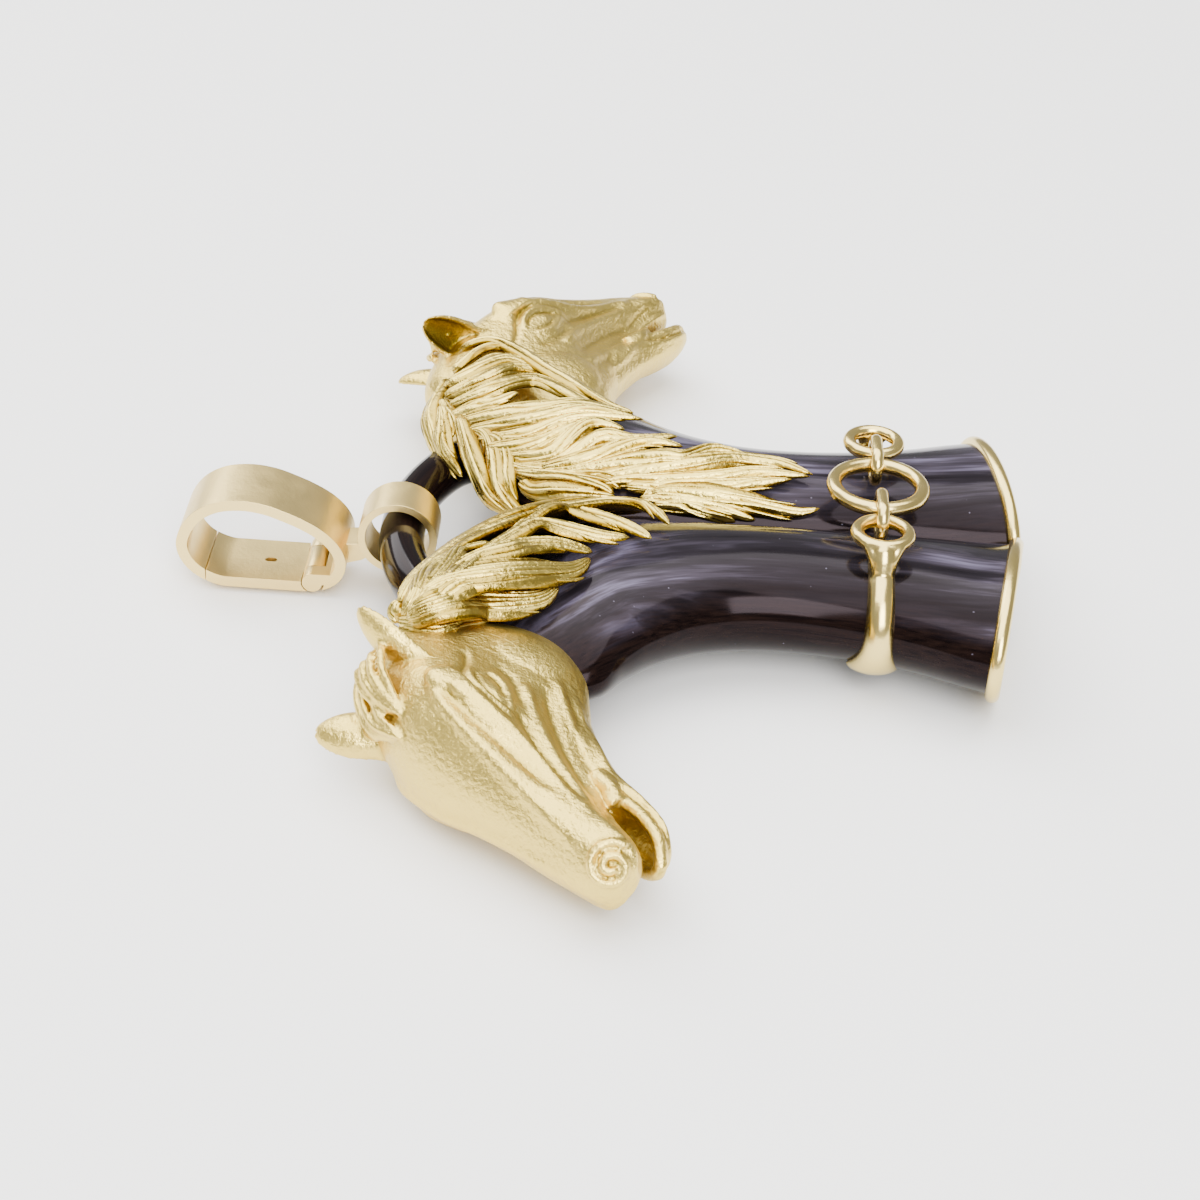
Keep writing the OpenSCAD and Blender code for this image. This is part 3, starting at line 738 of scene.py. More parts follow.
def strap_eye():
    angle, section = full_turn(EYE_STEPS), full_turn(EYE_SIDES)
    reach = (EYE_D - EYE_WIRE) / 2 + EYE_WIRE / 2 * np.cos(section)
    height = SNAFFLE_Z + EYE_WIRE / 2 * np.sin(section)
    eye = np.stack([EYE_X + np.cos(angle)[:, None] * reach, SNAFFLE_Y + np.sin(angle)[:, None] * reach,
                    np.broadcast_to(height, (EYE_STEPS, EYE_SIDES))], axis=2)
    return eye.reshape(-1, 3), skin_faces(EYE_STEPS, EYE_SIDES, loop=True)


def strap_parts():
    stem = [[x, SNAFFLE_Y, z] for x, z, r in SHOULDER]
    parts = [strap_bar(), strap_eye(), sweep(stem, [r for x, z, r in SHOULDER], sides=20)]
    for s in (-1, 1):
        parts.append(sweep([[x, SNAFFLE_Y + s * y, z] for x, y, z in FILLET], FILLET_RADII, sides=16))
    return parts


print("forms of a strap:", len(strap_parts()))

# %% Cast the straps
strap_points, strap_quads, strap_edges = melt(mesh_object("strap_rough", *joined(strap_parts())),
                                              voxel_mm=0.075, rounds=9)
# Painted shade in the hollows of the straps
strap_shading = hollow_shading(strap_points, strap_quads, strap_edges, rounds=12, full_mm=0.12)
for side, word in SIDES:
    made = mesh_object(f"cast_strap_{word}", strap_points, strap_quads, side)
    store_value(made, "hollow_shade", strap_shading)
    finish_piece(made, "pendant", "polished_gold", polished_gold, f"strap_{word}")

# %% [markdown]
# ## Horse heads
# The heads are cast, and each has a long skull, an open mouth, ears and a forelock. A head could
# be sculpted with brushes, but a script can't repeat brush strokes. So it is drawn along its own
# length, from the poll behind the ears to the lips, and is then placed on the neck. Skull and
# lower jaw are skins over measured cross-sections, the rest are smaller forms, and all are
# melted into one skin. A cross-section is a rounded box with a width at three heights.

# %% Cross-sections of skull and jaw
# Place, top, bottom, half width at the top, in the middle and at the bottom
HEAD = [
    [-1.95, 1.0, -2.4, 0.4, 0.6, 0.4], [-1.7, 2.5, -3.7, 1.1, 1.5, 1.1],
    [-1.0, 3.7, -4.8, 1.9, 2.4, 1.9], [1.0, 5.0, -6.5, 2.8, 3.4, 2.6],
    [4.0, 6.0, -7.3, 3.5, 3.9, 3.2], [6.9, 6.5, -7.0, 4.0, 4.0, 3.2],
    [8.9, 6.4, -6.0, 4.2, 3.9, 2.9], [11.4, 5.9, -4.5, 3.7, 3.4, 2.4],
    [13.7, 5.1, -3.3, 3.0, 2.9, 2.0], [16.5, 4.2, -1.9, 2.5, 2.5, 1.7],
    [18.9, 3.6, -0.9, 2.2, 2.4, 1.6], [21.0, 3.1, -0.6, 1.8, 2.4, 1.6],
    [22.4, 2.3, -0.3, 1.5, 2.1, 1.3], [23.1, 1.5, 0.4, 0.7, 1.2, 0.7],
]
JAW = [
    [9.8, -1.0, -5.3, 1.6, 2.2, 1.6], [12.7, -0.9, -4.3, 1.9, 2.3, 1.5],
    [15.7, -1.3, -3.7, 1.7, 1.9, 1.2], [18.3, -2.2, -3.5, 1.4, 1.7, 1.1],
    [20.4, -2.4, -3.3, 1.3, 1.5, 0.9], [21.8, -2.1, -2.8, 0.8, 1.0, 0.6],
    [22.4, -1.9, -2.3, 0.4, 0.5, 0.3],
]
# Lean of the lower half towards the upper cheek, for each millimetre below the middle line
JAW_LEAN = 0.22


def head_skin(rows):
    rings = []
    for u, t, b, top, mid, low in smooth_rows(rows, steps=6):
        h = t - b
        half = [[t, 0], [t - 0.05 * h, -0.62 * top], [t - 0.18 * h, -top], [(t + b) / 2, -mid],
                [b + 0.2 * h, -low], [b + 0.05 * h, -0.6 * low], [b, 0]]
        ring = smooth_rows(half + [[y, -w] for y, w in half[-2:0:-1]], steps=5, closed=True)
        ring[:, 1] -= JAW_LEAN * np.minimum(ring[:, 0], 0)
        rings.append(np.column_stack([np.full(len(ring), u), ring]))
    rings = np.array(rings)
    return rings.reshape(-1, 3), skin_faces(len(rings), rings.shape[1])


print("skull:", len(head_skin(HEAD)[0]), "points")

# %% [markdown]
# ## Ears
# An ear is a blunt leaf rolled to a half pipe. A flat leaf with a Solidify modifier would also
# do, but a wall that is made ring by ring is closed from the start, as the melting needs: an
# outer half ring and a smaller inner one are joined at both ends. The ear starts a little
# inside the skull, so that the two melt together.

# %% Roll an ear
# Base and tip of the ear that faces up, then of the one that faces down, and the wide way of each
EARS = [([2.5, 3.5, 2.8], [-0.7, 5.8, 4.3], [0.93, -0.15, 0.35]),
        ([3.4, 4.9, -2.5], [1.1, 7.7, -3.45], [0.85, 0.2, -0.5])]
EAR_HALF_WIDTH, EAR_DEPTH_SHARE = 1.5, 0.85
# Width and depth of the hollow as shares of the ear's
HOLLOW_WIDTH, HOLLOW_DEPTH = 0.74, 0.62


def ear(base, tip, wide_way):
    base, tip = np.array(base), np.array(tip)
    axis = unit(tip - base)
    wide_way = unit(np.array(wide_way) - axis * (np.array(wide_way) @ axis))
    opening = unit(np.cross(wide_way, axis)) * np.sign(base[2])
    turn = np.linspace(-math.pi, 0, 16)
    rings = []
    for t in np.linspace(-0.25, 1, 26):
        wide = EAR_HALF_WIDTH * (1 - max(t, 0) ** 4) ** 0.5 * (1 - 0.3 * t)
        wide *= 1 + 0.15 * math.sin(math.pi * max(t, 0))
        wide = max(wide, 0.1)
        deep = EAR_DEPTH_SHARE * wide
        outer = np.column_stack([np.cos(turn) * wide, np.sin(turn) * deep])
        inner = np.column_stack([np.cos(turn[::-1]) * wide * HOLLOW_WIDTH,
                                 np.sin(turn[::-1]) * deep * HOLLOW_DEPTH])
        shape = np.concatenate([outer, inner])
        rings.append(base + (tip - base) * t + shape[:, :1] * wide_way + shape[:, 1:] * opening)
    rings = np.array(rings)
    return rings.reshape(-1, 3), skin_faces(len(rings), rings.shape[1])


print("an ear:", len(ear(*EARS[0])[0]), "points")

# %% [markdown]
# ## Forelock
# The forelock falls over the brow in three locks. Each lock has a path, and its strands lie side
# by side across it, as thick as a casting needs them. They spread at the root and meet at the
# tip. Carving them into the head later would be too coarse for strands that stand off it.

# %% Comb the forelock
# Path, spread and number of strands of each lock of the forelock
FORELOCK = [
    ([[1.6, 5.3, 1.9], [2.2, 6.1, 2.2], [3.4, 6.6, 1.8], [5.0, 6.5, 1.4], [6.6, 6.2, 1.3]], 1.9, 4),
    ([[1.8, 5.3, 1.3], [2.3, 6.0, 0.7], [3.6, 6.5, 0.1], [5.4, 6.8, -0.2], [7.6, 6.5, 0.3]], 1.6, 3),
    ([[1.6, 4.6, 0.2], [2.6, 5.7, -0.6], [4.0, 6.2, -1.2], [5.8, 6.6, -1.0]], 1.3, 3),
]
STRAND_POINTS = 24


def forelock():
    strands = []
    for path, spread, count in FORELOCK:
        line = resample(smooth_rows(path, steps=6), STRAND_POINTS)
        t = np.linspace(0, 1, STRAND_POINTS)
        across = unit(np.cross(unit(np.gradient(line, axis=0)), unit(line - [3.0, 1.0, 0.0])))
        for s in np.linspace(-1, 1, count):
            place = line + across * (s * spread / 2 * (1.05 - t ** 3))[:, None]
            place[:, 1] += 0.22 * (1 - s * s)
            strands.append(sweep(place, spread / count * 0.56 * (1 - 0.6 * t ** 4), sides=10))
    return strands


print("forelock:", len(forelock()), "strands")

# %% [markdown]
# ## Nostrils
# On the real heads a nostril is a small spiral. It could be carved like the veins, but a coil
# of round wire, half sunk into the muzzle, gives it a cleaner edge. The coil lies on a low dome,
# faces a given direction and winds outwards from its middle.

# %% Coil a nostril
# Middle, direction that it faces and radius of the nostril that faces up, and of the lower one
NOSTRILS = [([22.48, 2.28, 1.08], [0.62, 0.62, 0.42], 1.4), ([21.3, 0.8, -1.9], [0.3, 0.4, -0.87], 1.1)]
# Turns of a coil, radius of its wire, where it starts and radius of the dome that it lies on
NOSTRIL_TURNS, NOSTRIL_WIRE, NOSTRIL_START, NOSTRIL_DOME = 1.8, 0.25, 0.15, 3.0


def nostril(middle, faces, radius):
    out = unit(np.array(faces))
    e1 = unit(np.cross(out, [0, 0, 1.0]))
    e2 = np.cross(out, e1)
    turn = np.linspace(0, 2 * math.pi * NOSTRIL_TURNS, 60)[:, None]
    reach = NOSTRIL_START + (radius - NOSTRIL_START) * turn / turn[-1]
    curl = middle + reach * (np.cos(turn) * e1 + np.sin(turn) * e2) - out * reach ** 2 / (2 * NOSTRIL_DOME)
    return sweep(curl, NOSTRIL_WIRE)


print("nostrils:", len(NOSTRILS))

# %% [markdown]
# ## All parts of a head
# Brows, eyeballs, cheeks, lips and the folds at the corners of the mouth join the forms above.
# Each is a ball or a round bar that sinks into the skull. Both cheeks get them, and the brow on
# the lower side is thinner, so that it doesn't show past the outline.

# %% Melt the parts of a head
# Once round the edge of the lower lip
LOWER_LIP = [[16.9, -1.7, 1.8], [19.2, -2.0, 1.9], [21.2, -1.9, 1.6], [22.3, -1.6, 0.8],
             [22.5, -1.5, 0.4], [22.3, -1.6, 0.0], [21.2, -1.9, -0.7], [19.2, -2.0, -1.0],
             [16.9, -1.7, -1.0]]
LIP_RADIUS, FOLD_RADIUS = 0.42, 0.5


def head_parts():
    parts = [head_skin(HEAD), head_skin(JAW)] + [ear(*row) for row in EARS] + forelock()
    parts.append(sweep(smooth_rows(LOWER_LIP, steps=5), LIP_RADIUS))
    parts += [nostril(*row) for row in NOSTRILS]
    for side, share in ((-1, 0.6), (1, 1.0)):
        parts.append(ball([8.6, 2.2, 3.45 * side], [1.5, 0.85, 0.85]))
        parts.append(sweep([[5.4, 4.0, 3.1 * side], [6.8, 4.4, 3.6 * side], [8.6, 4.3, 3.7 * side],
                            [10.8, 3.9, 3.1 * side]], np.array([0.5, 0.85, 0.8, 0.4]) * share))
        parts.append(ball([5.4, -3.2, 2.9 * side + 0.6], [3.1, 2.9, 1.1]))
        fold = [[15.4, -1.6, 1.7 * side + 0.3], [16.8, -1.5, 1.8 * side + 0.3],
                [18.0, -1.3, 1.55 * side + 0.3]]
        parts.append(sweep(smooth_rows(fold, steps=4), FOLD_RADIUS))
    return parts


head_points, head_quads, head_edges = melt(mesh_object("head_rough", *joined(head_parts())),
                                           voxel_mm=0.118, rounds=5)
print("head before carving:", len(head_points), "points")

# %% [markdown]
# ## Carving the head
# What makes the face are its ridges and hollows: the bone from brow to nose, the veins and
# muscles of the cheek, and the lids. Each is a stroke: a path, how wide it is, and how far it
# rises or sinks. The path is first laid onto the skin, then the points near it move along their
# normal. The strokes are drawn for the upper cheek and mirrored to the lower one, which shows
# less of them. At the end each point learns how deep it lies, for the painted shade in the gold.

# %% Table of the strokes
# Path over the cheek, width, height
STROKES = [
    ([[6.0, 4.4, 3.9], [7.0, 5.3, 3.7], [8.6, 5.2, 3.3], [10.4, 5.0, 2.9], [13.7, 4.3, 2.2],
      [17.2, 3.7, 1.6], [21.2, 3.2, 1.1]], 0.50, 0.40),
    ([[5.6, 3.6, 3.8], [7.0, 3.9, 4.0], [9.0, 4.0, 4.2], [11.1, 3.3, 3.7], [13.6, 2.4, 3.0],
      [16.6, 2.0, 2.5], [19.3, 1.8, 2.3]], 0.40, 0.46),
    ([[7.8, 4.7, 3.9], [8.8, 4.8, 3.5], [11.3, 4.4, 3.2], [13.5, 3.6, 2.9],
      [17.0, 2.8, 2.5]], 0.46, -0.46),
    ([[8.2, -0.6, 3.9], [9.9, 0.0, 3.7], [11.9, 0.5, 3.2], [14.9, 1.0, 2.7],
      [18.8, 1.2, 2.4]], 0.40, 0.38),
    ([[10.6, 1.5, 3.6], [12.4, 1.6, 3.2], [15.1, 1.8, 2.7], [18.4, 1.7, 2.4]], 0.40, -0.36),
    ([[7.8, -3.1, 3.8], [9.5, -2.7, 3.6], [11.2, -2.3, 3.0], [14.4, -1.8, 2.1],
      [17.0, -1.4, 1.8]], 0.40, 0.34),
    ([[8.6, -1.8, 3.8], [11.7, -0.9, 3.1], [14.8, -0.3, 2.5], [17.8, -0.2, 1.9]], 0.42, -0.34),
    ([[9.2, -3.8, 3.3], [12.2, -3.2, 2.4], [15.2, -2.2, 2.3], [17.6, -1.9, 2.1]], 0.36, 0.24),
    ([[6.3, 2.0, 4.2], [7.3, 2.9, 4.3], [8.8, 3.2, 4.3], [10.4, 2.7, 3.9], [11.2, 2.1, 3.6]], 0.22, 0.32),
    ([[6.9, 1.3, 4.0], [8.2, 1.0, 4.0], [9.6, 1.4, 3.9], [10.6, 2.0, 3.7]], 0.20, 0.22),
    ([[6.9, 2.2, 4.3], [7.9, 2.7, 4.4], [9.2, 2.7, 4.3], [10.2, 2.3, 4.0]], 0.13, -0.26),
    ([[7.2, 1.5, 4.2], [8.4, 1.4, 4.2], [9.6, 1.8, 4.0]], 0.13, -0.20),
    ([[4.0, 1.0, 3.9], [5.2, 1.6, 4.0], [6.3, 2.6, 4.0], [7.2, 3.4, 4.0], [9.0, 3.6, 4.1]], 0.24, -0.34),
    ([[6.2, 0.2, 4.0], [8.0, 0.0, 4.0], [10.4, 0.8, 3.8]], 0.34, -0.20),
    ([[16.8, -1.5, 1.9], [17.9, -1.0, 1.9], [19.0, -0.5, 1.8], [20.6, -0.1, 1.6],
      [22.6, 0.4, 1.1]], 0.26, 0.28),
    ([[17.4, -0.2, 2.0], [19.2, 0.4, 2.1], [20.8, 0.8, 2.1]], 0.30, -0.24),
]
# Share of the height that the strokes have on the upper cheek, and on the lower one
CHEEK_SHARES = 0.66, 0.5
print("strokes:", len(STROKES))


# %% [markdown]
# ## How near a point is to a path
# For each point of the head, this gives the distance to the path and how far along the path the
# nearest place lies. A path is first brought down onto the skin, or the mirrored stroke of the
# lower cheek would float beside it.

# %% Lay a path onto the skin
def reach_of(points, path):
    best, along = np.full(len(points), 1e9), np.zeros(len(points))
    for number, (a, b) in enumerate(zip(path, path[1:])):
        ab = b - a
        t = np.clip(((points - a) @ ab) / max(ab @ ab, 1e-9), 0, 1)
        away = np.linalg.norm(points - (a + t[:, None] * ab), axis=1)
        along = np.where(away < best, (number + t) / (len(path) - 1), along)
        best = np.minimum(best, away)
    return best, along


def other_cheek(path):
    path = np.array(path, float)
    path[:, 2] = -2 * JAW_LEAN * np.minimum(path[:, 1], 0) - path[:, 2]
    return path


def on_surface(points, normal, path):
    near = [np.linalg.norm(points - place, axis=1).argmin() for place in path]
    off = ((path - points[near]) * normal[near]).sum(axis=1, keepdims=True)
    return settle(path - off * normal[near], rounds=4)


x_axis = np.array([[0, 0, 0], [9, 0, 0]])
print("from [1, 2, 0] to the x axis:", reach_of(np.array([[1, 2, 0]]), x_axis)[0][0], "mm")

# %% [markdown]
# ## Push the skin along the strokes
# A stroke has a soft bell-shaped profile and fades at both ends, as the mark of a graver does.

# %% Carve the cheeks
# Share of the stroke over which each end fades
STROKE_FADE = 0.18


def carve(points, quads):
    normal = face_normals(points, quads)
    push = np.zeros(len(points))
    for path, width, height in STROKES:
        for route, share in zip((np.array(path, float), other_cheek(path)), CHEEK_SHARES):
            away, along = reach_of(points, on_surface(points, normal, smooth_rows(route, steps=5)))
            fade = np.clip(np.minimum(along, 1 - along) / STROKE_FADE, 0, 1)
            push += share * height * fade * (2 - fade) * np.exp(-(away / width) ** 2)
    return points + normal * push[:, None]


head_points = carve(sharpen(head_points, head_edges, rounds=10, share=0.6), head_quads)
head_points = relax(head_points, head_edges, rounds=1)
print("head after carving:", len(head_points), "points")

# %% [markdown]
# ## Dark insides
# Inside an ear and the mouth hardly any light gets out again, and the gold looks olive brown. A
# point belongs to such an inside when it lies near the middle line and faces it.

# %% Shade the ears and the mouth
# Middle line of each ear and of the mouth, reach of its inside, weights of x, y and z, and darkness
INSIDES = [(base, tip, 1.4, [1, 1, 1], 0.52) for base, tip, wide_way in EARS]
INSIDES.append(([17.0, -1.75, 0.35], [23.6, -1.1, 0.35], 1.2, [1, 1, 0.35], 0.34))


def inside_shade(points, normal):
    shade = np.zeros(len(points))
    for start, end, reach, weights, dark in INSIDES:
        along = np.array(end) - start
        t = np.clip((points - start) @ along / (along @ along), 0, 1)
        inward = (start + t[:, None] * along - points) * weights
        away = np.linalg.norm(inward, axis=1)
        facing = (inward * normal).sum(axis=1) / np.maximum(away, 0.001)
        inside = np.clip(2 * facing, 0, 1) * np.clip((reach - away) / 0.3, 0, 1)
        shade = np.maximum(shade, dark * inside * np.minimum(1, 2 * np.sin(math.pi * t)))
    return shade


# Painted shade: deep points and the insides of the ears and the mouth get a darker gold
head_shading = np.maximum(hollow_shading(head_points, head_quads, head_edges, rounds=14, full_mm=0.20),
                         inside_shade(head_points, face_normals(head_points, head_quads)))
print("share of dark points:", round(float((head_shading > 0.5).mean()), 3))

# %% [markdown]
# ## Both heads
# The carved head is turned and set on the neck. Its lowest points may not sink into the table.

# %% Set the heads on the necks
# Where the zero of the head's drawing lies, and its roll, turn and dip in degrees
HEAD_AT = np.array([16.6, 10.4, 4.5])
HEAD_ROLL, HEAD_TURN, HEAD_DIP = 18, -37.5, 3.2
ABOVE_TABLE_MM = 0.005

head_turn = np.array(Matrix.Rotation(math.radians(HEAD_DIP), 3, "Y") @ Matrix.Rotation(
    math.radians(HEAD_TURN), 3, "Z") @ Matrix.Rotation(math.radians(HEAD_ROLL), 3, "X"))
placed_head = head_points @ head_turn.T + HEAD_AT
placed_head[:, 2] = np.maximum(placed_head[:, 2], -DRAWING_AT[2] + ABOVE_TABLE_MM)
for side, word in SIDES:
    made = mesh_object(f"cast_head_{word}", placed_head, head_quads, side)
    store_value(made, "hollow_shade", head_shading)
    finish_piece(made, "pendant", "cast_gold", satin_gold, f"head_{word}")

# %% [markdown]
# ## Manes
# A mane is cast in flame-shaped locks. Blender's own hair would be far too fine, because a
# casting has few, thick strands that stay together. So a table gives the path and the width of
# each lock over the stone, and a skin is drawn along the path that swells from the root and runs
# out in a tip. Its upper side is cut into strands by ridges of uneven height, which wander a
# little from side to side. A loose strand runs along each edge, and a wide flat lock below
# closes the gaps. The grooves between the ridges get painted shade in the colour of the gold.

# %% Locks of the left mane
# Path over the stone and width
LOCKS_LEFT = [
    ([[15.8, 12.0, 7.3], [16.5, 10.7, 8.0], [16.7, 9.5, 8.1], [15.7, 8.1, 7.5], [14.9, 6.5, 7.4]], 1.5),
    ([[16.6, 11.5, 8.1], [16.5, 9.5, 9.2], [14.5, 7.3, 8.3], [14.3, 6.1, 8.2], [13.4, 3.6, 8.0],
      [11.9, 2.6, 8.2]], 1.65),
    ([[15.4, 11.0, 8.7], [14.3, 9.1, 9.4], [12.8, 5.5, 9.5], [10.7, 1.9, 8.5], [9.2, 0.7, 8.6]], 1.65),
    ([[13.0, 9.3, 9.2], [11.4, 7.7, 9.4], [10.4, 5.7, 9.6], [9.6, 4.8, 9.4], [8.8, 2.9, 9.2],
      [8.5, 0.6, 8.6]], 1.35),
    ([[10.8, 7.5, 9.3], [8.3, 5.7, 9.3], [6.6, 4.0, 9.3], [7.0, 0.2, 8.9], [6.9, -1.7, 8.9]], 1.4),
    ([[7.6, 5.8, 9.0], [4.9, 4.2, 9.0], [3.9, 2.9, 8.8], [3.9, 1.9, 8.8], [5.0, -0.2, 8.9],
      [5.4, -1.3, 8.8], [6.5, -3.1, 8.7]], 1.35),
    ([[6.4, 7.2, 8.6], [4.6, 4.0, 8.9], [3.0, 0.8, 8.9], [2.6, -0.9, 8.9], [2.7, -2.6, 8.9],
      [3.9, -3.7, 8.8], [4.7, -4.2, 8.8]], 1.1),
    ([[15.8, 12.0, 7.2], [15.4, 12.3, 7.7], [14.9, 12.1, 8.2]], 0.8),
    ([[16.0, 11.8, 7.7], [15.2, 11.2, 8.6], [13.6, 11.0, 8.6], [11.9, 10.6, 8.5], [9.0, 8.6, 8.9]], 1.3),
    ([[16.6, 11.4, 8.2], [15.9, 10.8, 8.8], [14.8, 10.4, 9.0], [10.5, 9.2, 9.0], [9.8, 8.5, 9.0],
      [9.2, 7.0, 9.3]], 1.4),
    ([[16.2, 10.8, 8.8], [14.3, 9.3, 9.3], [11.1, 7.3, 9.4], [9.2, 5.5, 9.6]], 1.4),
    ([[16.7, 11.4, 8.2], [16.4, 10.6, 8.7], [15.0, 8.7, 9.4], [14.2, 7.4, 9.4], [13.2, 5.6, 8.9]], 1.2),
    ([[14.6, 12.1, 7.8], [12.0, 11.2, 8.1], [8.6, 8.8, 8.6], [5.6, 5.4, 8.9], [3.6, 3.0, 8.9]], 1.4),
    ([[13.2, 12.2, 7.2], [10.6, 11.4, 7.4], [7.4, 9.2, 7.6], [4.4, 5.6, 8.4], [2.2, 1.6, 8.4],
      [1.6, -1.2, 8.2]], 1.7),
    ([[12.0, 12.4, 6.4], [8.8, 11.0, 6.4], [5.2, 8.0, 6.6], [2.6, 4.4, 7.4], [1.6, 1.0, 7.6],
      [1.4, -2.4, 7.6]], 1.7),
    ([[10.8, 12.2, 5.4], [7.6, 10.6, 5.4], [4.0, 7.4, 5.6], [1.9, 4.4, 6.6], [1.4, 2.0, 6.9]], 1.6),
]
print("left mane:", len(LOCKS_LEFT), "locks")

# %% Locks of the right mane
# Path over the stone and width
LOCKS_RIGHT = [
    ([[17.7, 11.4, 8.9], [18.0, 10.0, 9.5], [17.9, 8.6, 9.7], [15.9, 6.3, 9.6], [14.4, 4.8, 9.4],
      [13.1, 3.2, 9.3], [10.3, 0.2, 9.1], [9.3, -1.4, 9.2]], 1.1),
    ([[15.3, 11.6, 8.5], [16.5, 10.6, 8.9], [17.1, 9.4, 9.5], [17.2, 8.2, 9.6], [16.6, 7.0, 9.4]], 1.0),
    ([[13.2, 11.9, 8.4], [13.6, 10.6, 9.1], [14.5, 9.3, 9.5], [15.4, 8.0, 9.6], [15.3, 6.8, 9.5],
      [13.7, 4.0, 9.0], [12.9, 2.1, 8.6]], 1.1),
    ([[12.1, 11.9, 8.1], [12.8, 8.8, 9.6], [13.9, 7.7, 9.6], [14.4, 6.5, 9.5], [14.0, 4.3, 9.0]], 0.9),
    ([[10.9, 11.8, 7.7], [11.0, 8.8, 9.4], [11.9, 7.5, 9.6], [13.0, 6.0, 9.4], [12.6, 4.8, 9.4],
      [9.8, 2.0, 9.5], [9.3, 0.6, 9.5]], 0.9),
    ([[9.6, 11.3, 7.8], [9.8, 8.2, 9.1], [10.2, 6.6, 9.7]], 0.8),
    ([[8.8, 10.7, 7.8], [8.6, 7.6, 8.9], [8.8, 5.0, 9.5], [9.3, 2.3, 9.7], [9.3, -1.4, 9.1]], 0.8),
    ([[7.8, 10.1, 7.7], [7.6, 5.6, 9.1], [8.2, 2.9, 9.6], [8.3, 1.2, 9.7], [8.0, -1.9, 9.4]], 0.8),
    ([[7.1, 9.3, 7.5], [6.5, 6.0, 8.5], [7.7, 2.6, 9.5], [7.9, -2.1, 9.5]], 0.8),
    ([[6.0, 8.4, 7.6], [5.5, 5.1, 8.3], [7.0, 2.2, 9.5]], 0.8),
    ([[5.2, 7.4, 7.3], [4.7, 4.2, 8.1], [5.1, 3.2, 8.7], [6.5, 1.8, 9.5], [6.8, 0.8, 9.6],
      [6.4, -0.9, 9.4]], 0.9),
    ([[4.3, 6.7, 7.1], [3.8, 3.3, 7.9], [5.4, 0.7, 9.4], [5.2, -1.3, 9.3], [6.1, -4.5, 9.4]], 0.9),
    ([[3.4, 4.6, 7.6], [3.6, 1.6, 8.5], [4.9, -2.3, 9.4], [4.8, -4.9, 9.3]], 0.9),
    ([[3.0, 3.2, 7.7], [3.5, -3.7, 9.2], [3.4, -4.9, 9.1], [4.6, -6.7, 9.3], [4.8, -8.1, 9.2],
      [4.4, -9.7, 8.8]], 0.8),
    ([[2.5, 2.2, 7.5], [3.2, -5.4, 9.0], [4.2, -8.1, 9.0], [4.4, -9.8, 8.8], [4.1, -11.5, 8.9],
      [3.2, -13.7, 8.7]], 0.9),
    ([[2.0, 0.8, 7.5], [2.3, -1.2, 7.9], [2.5, -6.5, 8.3], [3.1, -9.8, 8.6], [3.1, -13.5, 8.6]], 0.8),
    ([[1.8, -1.2, 7.7], [1.9, -7.2, 8.0], [2.7, -12.3, 8.5]], 0.8),
    ([[1.2, -2.9, 7.5], [1.3, -4.2, 7.8], [1.1, -7.2, 7.8], [0.7, -12.3, 7.2], [0.9, -14.2, 7.5]], 0.9),
    ([[1.0, -2.2, 7.2], [0.9, -5.6, 7.4], [0.2, -10.0, 6.7]], 0.8),
    ([[0.7, -3.1, 7.1], [0.6, -5.9, 7.1], [0.1, -8.7, 6.5]], 0.7),
    ([[1.0, -2.5, 7.2], [2.0, -3.8, 8.0], [2.2, -5.1, 8.2]], 0.7),
    ([[3.8, 6.3, 7.1], [2.0, 0.8, 7.5], [1.4, -0.5, 7.3]], 1.0),
    ([[3.1, 6.0, 6.7], [2.3, 5.0, 6.5], [1.7, 3.5, 6.8], [1.2, -0.6, 7.2]], 0.9),
    ([[4.9, 7.1, 7.3], [4.1, 6.2, 7.1], [3.4, 4.6, 7.3], [2.4, 0.5, 7.8], [1.7, -0.9, 7.5]], 0.9),
    ([[14.7, 12.0, 8.0], [11.7, 12.9, 7.1], [10.1, 12.8, 6.6], [7.7, 11.7, 5.4]], 1.1),
    ([[11.1, 12.0, 7.9], [7.7, 11.6, 6.6], [5.6, 10.0, 5.4]], 1.0),
    ([[11.6, 12.0, 8.0], [9.1, 11.0, 7.5], [8.1, 10.9, 7.0]], 0.6),
    ([[9.1, 10.7, 8.1], [6.1, 9.6, 7.0], [3.6, 8.4, 5.6], [2.7, 7.6, 5.1], [2.0, 6.3, 4.7]], 1.0),
    ([[7.7, 9.6, 7.9], [6.9, 8.6, 7.7], [2.9, 7.3, 5.9], [1.5, 5.7, 4.9]], 1.0),
    ([[7.0, 8.5, 8.0], [6.1, 7.5, 7.8], [2.6, 6.6, 6.0], [1.1, 5.3, 5.1]], 0.9),
]
print("right mane:", len(LOCKS_RIGHT), "locks")

# %% [markdown]
# ## Along a lock
# At every step a lock needs three directions: ahead along its path, across it, and away from the
# stone. The last is found from the nearest point of the neck's middle line and then quietened.

# %% Directions along a lock
LOCK_RINGS = 38


def above_stone(points):
    nearest = np.linalg.norm(points[:, None] - neck_axis[None], axis=2).argmin(axis=1)
    return unit(points - neck_axis[nearest])


def lock_frame(path):
    line = settle(resample(smooth_rows(path, steps=8), LOCK_RINGS), rounds=3)
    ahead = unit(np.gradient(line, axis=0))
    across = unit(np.cross(ahead, settle(above_stone(line), rounds=6)))
    return line, across, np.cross(across, ahead)


first_line = lock_frame(LOCKS_LEFT[0][0])[0]
print("first lock:", round(np.linalg.norm(np.diff(first_line, axis=0), axis=1).sum(), 1), "mm long")

# %% [markdown]
# ## The skin of a lock
# Each ring is a half circle above a flatter one. The upper half carries the ridges: their number
# follows the width, and their heights and the way they wander are drawn at random, with a fixed
# seed, so that the result is the same each time. The grooves between them get painted shade.

# %% Skin of a lock
RIDGE_MM = 0.15


